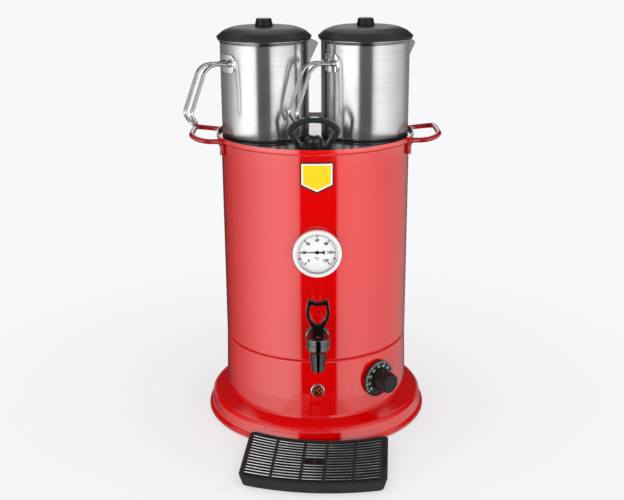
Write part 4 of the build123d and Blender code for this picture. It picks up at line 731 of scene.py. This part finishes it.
def slat_crowns():
    """Rounded crown along the top of each slat of the grille, made pale to paint in its highlight."""
    grille_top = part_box("tray_grille")[1].z
    base_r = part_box("base_ring")[1].x
    turned = Matrix.Rotation(radians(TRAY_TURN), 4, "Z")
    tray_frame = Matrix.Translation((TRAY_X, -(base_r + TRAY_BACK + TRAY_CLEAR), grille_top)) @ turned
    arc_centre = TRAY_BACK + TRAY_ARC_R
    maker = bmesh.new()
    for column, (left, right) in enumerate(zip(COLUMN_EDGES, COLUMN_EDGES[1:])):
        start = (left + COLUMN_RIB / 2) * MM
        end = (right - COLUMN_RIB / 2) * MM
        for slat in range(1, SLOT_ROWS):
            if column == FINGER_COLUMN and slat in FINGER_ROWS:
                continue
            radius = FIRST_SLOT_R + slat * SLAT_PITCH - SLAT / 2
            rows = []
            for step in range(CROWN_STEPS + 1):
                angle = asin((start + (end - start) * step / CROWN_STEPS) / radius)
                row = []
                for shift, rise in CROWN_SECTION:
                    reach = radius + shift * CROWN_WIDTH
                    place = (reach * sin(angle), arc_centre - reach * cos(angle), rise * CROWN_RISE)
                    row.append(maker.verts.new(place))
                rows.append(row)
            skin(maker, rows)
    made = piece("slat_crowns", maker, CROWN, "tray_grille", tray_frame)
    made.data.shade_smooth()


slat_crowns()

# ---------------------------------------------------------------- floor
BACKGROUND = display_colour(247, 248, 250)
FLOOR_PALE, FLOOR_SPECKLE = tone(0.9, 0.91, 0.93), tone(0.80, 0.81, 0.83)
FLOOR_HALF = 6.0
PLAIN_FROM, PLAIN_TO = 0.35, 0.9  # distances over which the floor turns into plain background
PLAIN_NEAR = 0.5  # share of plain background under the object
SPECKLE_SCALE, SPECKLE_LEAST = 40.0, 0.985


def floor():
    """Pale floor: shaded near the object, so it keeps the shadow, and plain background further out."""
    maker = bmesh.new()
    corners = ((-1, -1), (1, -1), (1, 1), (-1, 1))
    maker.faces.new([maker.verts.new((x * FLOOR_HALF, y * FLOOR_HALF, 0)) for x, y in corners])
    mesh = bpy.data.meshes.new("floor")
    maker.to_mesh(mesh)
    maker.free()
    made = bpy.data.objects.new("floor", mesh)
    scene.collection.objects.link(made)
    make = Shader(bpy.data.materials.new("floor"))
    flat = make.node("ShaderNodeVectorMath", {0: make.place(), 1: (1.0, 1.0, 0.0)}, operation="MULTIPLY")
    away = make.node("ShaderNodeVectorMath", {0: flat.outputs[0]}, operation="LENGTH").outputs["Value"]
    camera_ray = make.node("ShaderNodeLightPath").outputs["Is Camera Ray"]
    plain_share = make.span(away, PLAIN_FROM, PLAIN_TO, PLAIN_NEAR, 1.0, smooth=True)
    share = make.math("MULTIPLY", plain_share, camera_ray)
    speckle = make.spread(make.noise(SPECKLE_SCALE), SPECKLE_LEAST, 1.0)
    shade = make.mix("RGBA", speckle, FLOOR_SPECKLE, FLOOR_PALE)
    diffuse = make.node("ShaderNodeBsdfDiffuse", {"Color": shade}).outputs[0]
    glow = make.node("ShaderNodeEmission", {"Color": BACKGROUND}).outputs[0]
    mesh.materials.append(make.finish(make.mix_shaders(share, diffuse, glow)))
    made.visible_glossy = False


# ---------------------------------------------------------------- light
# Level of the studio seen in the body's reflections, by degrees round from the front: a dark gap
# between two wide soft boxes, which fade towards the sides and the back.
STUDIO = (
    (-180, 0.0), (-150, 0.05), (-130, 0.13), (-108, 0.36), (-89, 0.7), (-72, 1.03), (-57, 1.22), (-42, 1.28),
    (-28.5, 1.12), (-21.5, 0.88), (-18.5, 0.0), (24.0, 0.0), (27.0, 0.85), (39, 1.0), (53, 1.0), (68, 0.86),
    (84, 0.72), (103, 0.56), (125, 0.42), (140, 0.32), (161, 0.12), (180, 0.03),
)
STUDIO_PEAK = 1.3
# The pots, seen more level than the body, mirror a narrower gap, further left, and brighter boxes.
POT_VIEW = (-12.6, -11.6)  # degrees of elevation: below them the body's view, above them the pots'
POT_SQUEEZE = 0.28
POT_TURN = 4.8
POT_BRIGHT = 1.15
POT_FLOOR = 0.2
# Elevations in degrees and levels of the boxes' lower and upper fades.
LOW_FADE, LOW_LEVEL = (-29.5, -24.5), 0.45
HIGH_FADE, HIGH_LEVEL = (-5, 0), 0.22
# Above the horizon the boxes drop to the sides; both ranges are in degrees.
LIFT = (0.0, 8)
SIDES = (70, 110)
SIDE_DROP = 0.88
# A bright patch low at the back, which the lid's deck mirrors.
BACK_SIDES = (166, 173)
BACK_RISE = (2, 8)
# From these elevations up the studio is overhead: dark on the front's side, bright on the back's.
OVERHEAD = (38, 52)
OVERHEAD_DEPTH = (0.1, 0.45)
OVERHEAD_FRONT = 0.07
OVERHEAD_BACK = 0.8
# Level of the soft light on dull surfaces, near the horizon and overhead.
SOFT_RISE = (15, 60)
SOFT_AROUND = 1.0
SOFT_ABOVE = 0.92


def box_level(make, azimuth, elevation):
    """Level of the soft boxes and the dark gap between them."""
    level_view = make.degrees(elevation, POT_VIEW, 0.0, 1.0, smooth=True)
    squeeze = make.math("MULTIPLY_ADD", level_view, POT_SQUEEZE, 1.0)
    shift = make.math("MULTIPLY", level_view, radians(POT_TURN))
    turned = make.math("MULTIPLY_ADD", azimuth, squeeze, shift)
    around = make.math("ADD", make.math("DIVIDE", turned, 2 * pi), 0.5, clamp=True)
    stops = [(0.5 + angle / 360, level / STUDIO_PEAK) for angle, level in STUDIO]
    boxes = make.math("MULTIPLY", make.ramp(around, stops), STUDIO_PEAK)
    brighter = make.math("MULTIPLY_ADD", level_view, POT_BRIGHT, 1.0)
    low_fade = make.degrees(elevation, LOW_FADE, LOW_LEVEL, 1.0)
    high_fade = make.degrees(elevation, HIGH_FADE, 1.0, HIGH_LEVEL)
    faded = make.math("MULTIPLY", boxes, make.math("MULTIPLY", low_fade, high_fade))
    return make.math("MULTIPLY_ADD", faded, brighter, make.math("MULTIPLY", level_view, POT_FLOOR))


def mirrored_level(make, azimuth, elevation, depth):
    """Level of the studio that glossy surfaces mirror."""
    turned_away = make.math("ABSOLUTE", azimuth)
    lift = make.degrees(elevation, LIFT, 0.0, 1.0)
    side_drop = make.math("MULTIPLY", lift, make.degrees(turned_away, SIDES, 0.0, SIDE_DROP))
    kept = make.math("SUBTRACT", 1.0, side_drop)
    walls = make.math("MULTIPLY", box_level(make, azimuth, elevation), kept)
    to_back = make.degrees(turned_away, BACK_SIDES, 0.0, 1.0, smooth=True)
    above = make.degrees(elevation, BACK_RISE, 0.0, 1.0, smooth=True)
    around = make.mix("FLOAT", make.math("MULTIPLY", to_back, above), walls, 1.0)
    high = make.degrees(elevation, OVERHEAD, 0.0, 1.0, smooth=True)
    overhead = make.span(depth, *OVERHEAD_DEPTH, OVERHEAD_FRONT, OVERHEAD_BACK, smooth=True)
    return make.mix("FLOAT", high, around, overhead)


def studio():
    """World: plain pale background for the camera, a studio for glossy surfaces, soft light for dull ones."""
    world = bpy.data.worlds.new("studio")
    scene.world = world
    make = Shader(world)
    way = make.node("ShaderNodeTexCoord").outputs["Generated"]
    x, y, z = make.node("ShaderNodeSeparateXYZ", {0: way}).outputs
    elevation = make.math("ARCSINE", z)
    azimuth = make.math("ARCTAN2", x, make.math("MULTIPLY", y, -1.0))
    soft = make.degrees(elevation, SOFT_RISE, SOFT_AROUND, SOFT_ABOVE)

    def shining(colour, level):
        return make.node("ShaderNodeBackground", {"Color": colour, "Strength": level}).outputs[0]

    rays = make.node("ShaderNodeLightPath").outputs
    mirrored = shining(tone(1.0), mirrored_level(make, azimuth, elevation, y))
    lit = make.mix_shaders(rays["Is Glossy Ray"], shining(tone(1.0), soft), mirrored)
    shown = make.mix_shaders(rays["Is Camera Ray"], lit, shining(BACKGROUND, 1.0))
    make.finish(shown, "ShaderNodeOutputWorld")


# Name, place, target, width and height, and power in watts.
LAMPS = (
    ("front_fill", (0.0, -1.6, 0.25), (0, 0, 0.06), (2.0, 0.5), 8.0),
    ("key", (1.1, -1.2, 2.0), (0, 0, 0.3), (0.9, 0.9), 2.0),
)


def lamp(name, place, target, size, power):
    """Soft rectangular lamp aimed at a point, hidden from the camera and from reflections."""
    light = bpy.data.lights.new(name, "AREA")
    light.shape = "RECTANGLE"
    light.size, light.size_y = size
    light.energy = power
    made = bpy.data.objects.new(name, light)
    scene.collection.objects.link(made)
    aim = Vector(target) - Vector(place)
    made.matrix_world = Matrix.Translation(place) @ aim.to_track_quat("-Z", "Y").to_matrix().to_4x4()
    made.visible_camera = False
    made.visible_glossy = False


# ---------------------------------------------------------------- camera
EYE = Vector((-0.0251, -1.5975, 0.7859))
PITCH, YAW, ROLL = radians(17.852), radians(-0.686), radians(-0.2976)
LENS, SENSOR = 58.16, 36.0  # in mm


def camera():
    forward = Vector((0, cos(PITCH), -sin(PITCH)))
    right = Vector((1, 0, 0))
    up = right.cross(forward)
    yaw = Matrix.Rotation(YAW, 3, "Z")
    forward, right, up = yaw @ forward, yaw @ right, yaw @ up
    rolled_right = right * cos(ROLL) + up * sin(ROLL)
    rolled_up = up * cos(ROLL) - right * sin(ROLL)
    turn = Matrix((rolled_right, rolled_up, -forward)).transposed().to_4x4()
    data = bpy.data.cameras.new("camera")
    data.lens = LENS
    data.sensor_width = SENSOR
    made = bpy.data.objects.new("camera", data)
    scene.collection.objects.link(made)
    made.matrix_world = Matrix.Translation(EYE) @ turn
    scene.camera = made


floor()
studio()
for tray_piece in ("drip_tray", "tray_grille"):
    nodes[tray_piece].visible_glossy = False
for lamp_values in LAMPS:
    lamp(*lamp_values)
camera()
scene.view_settings.view_transform = "Standard"
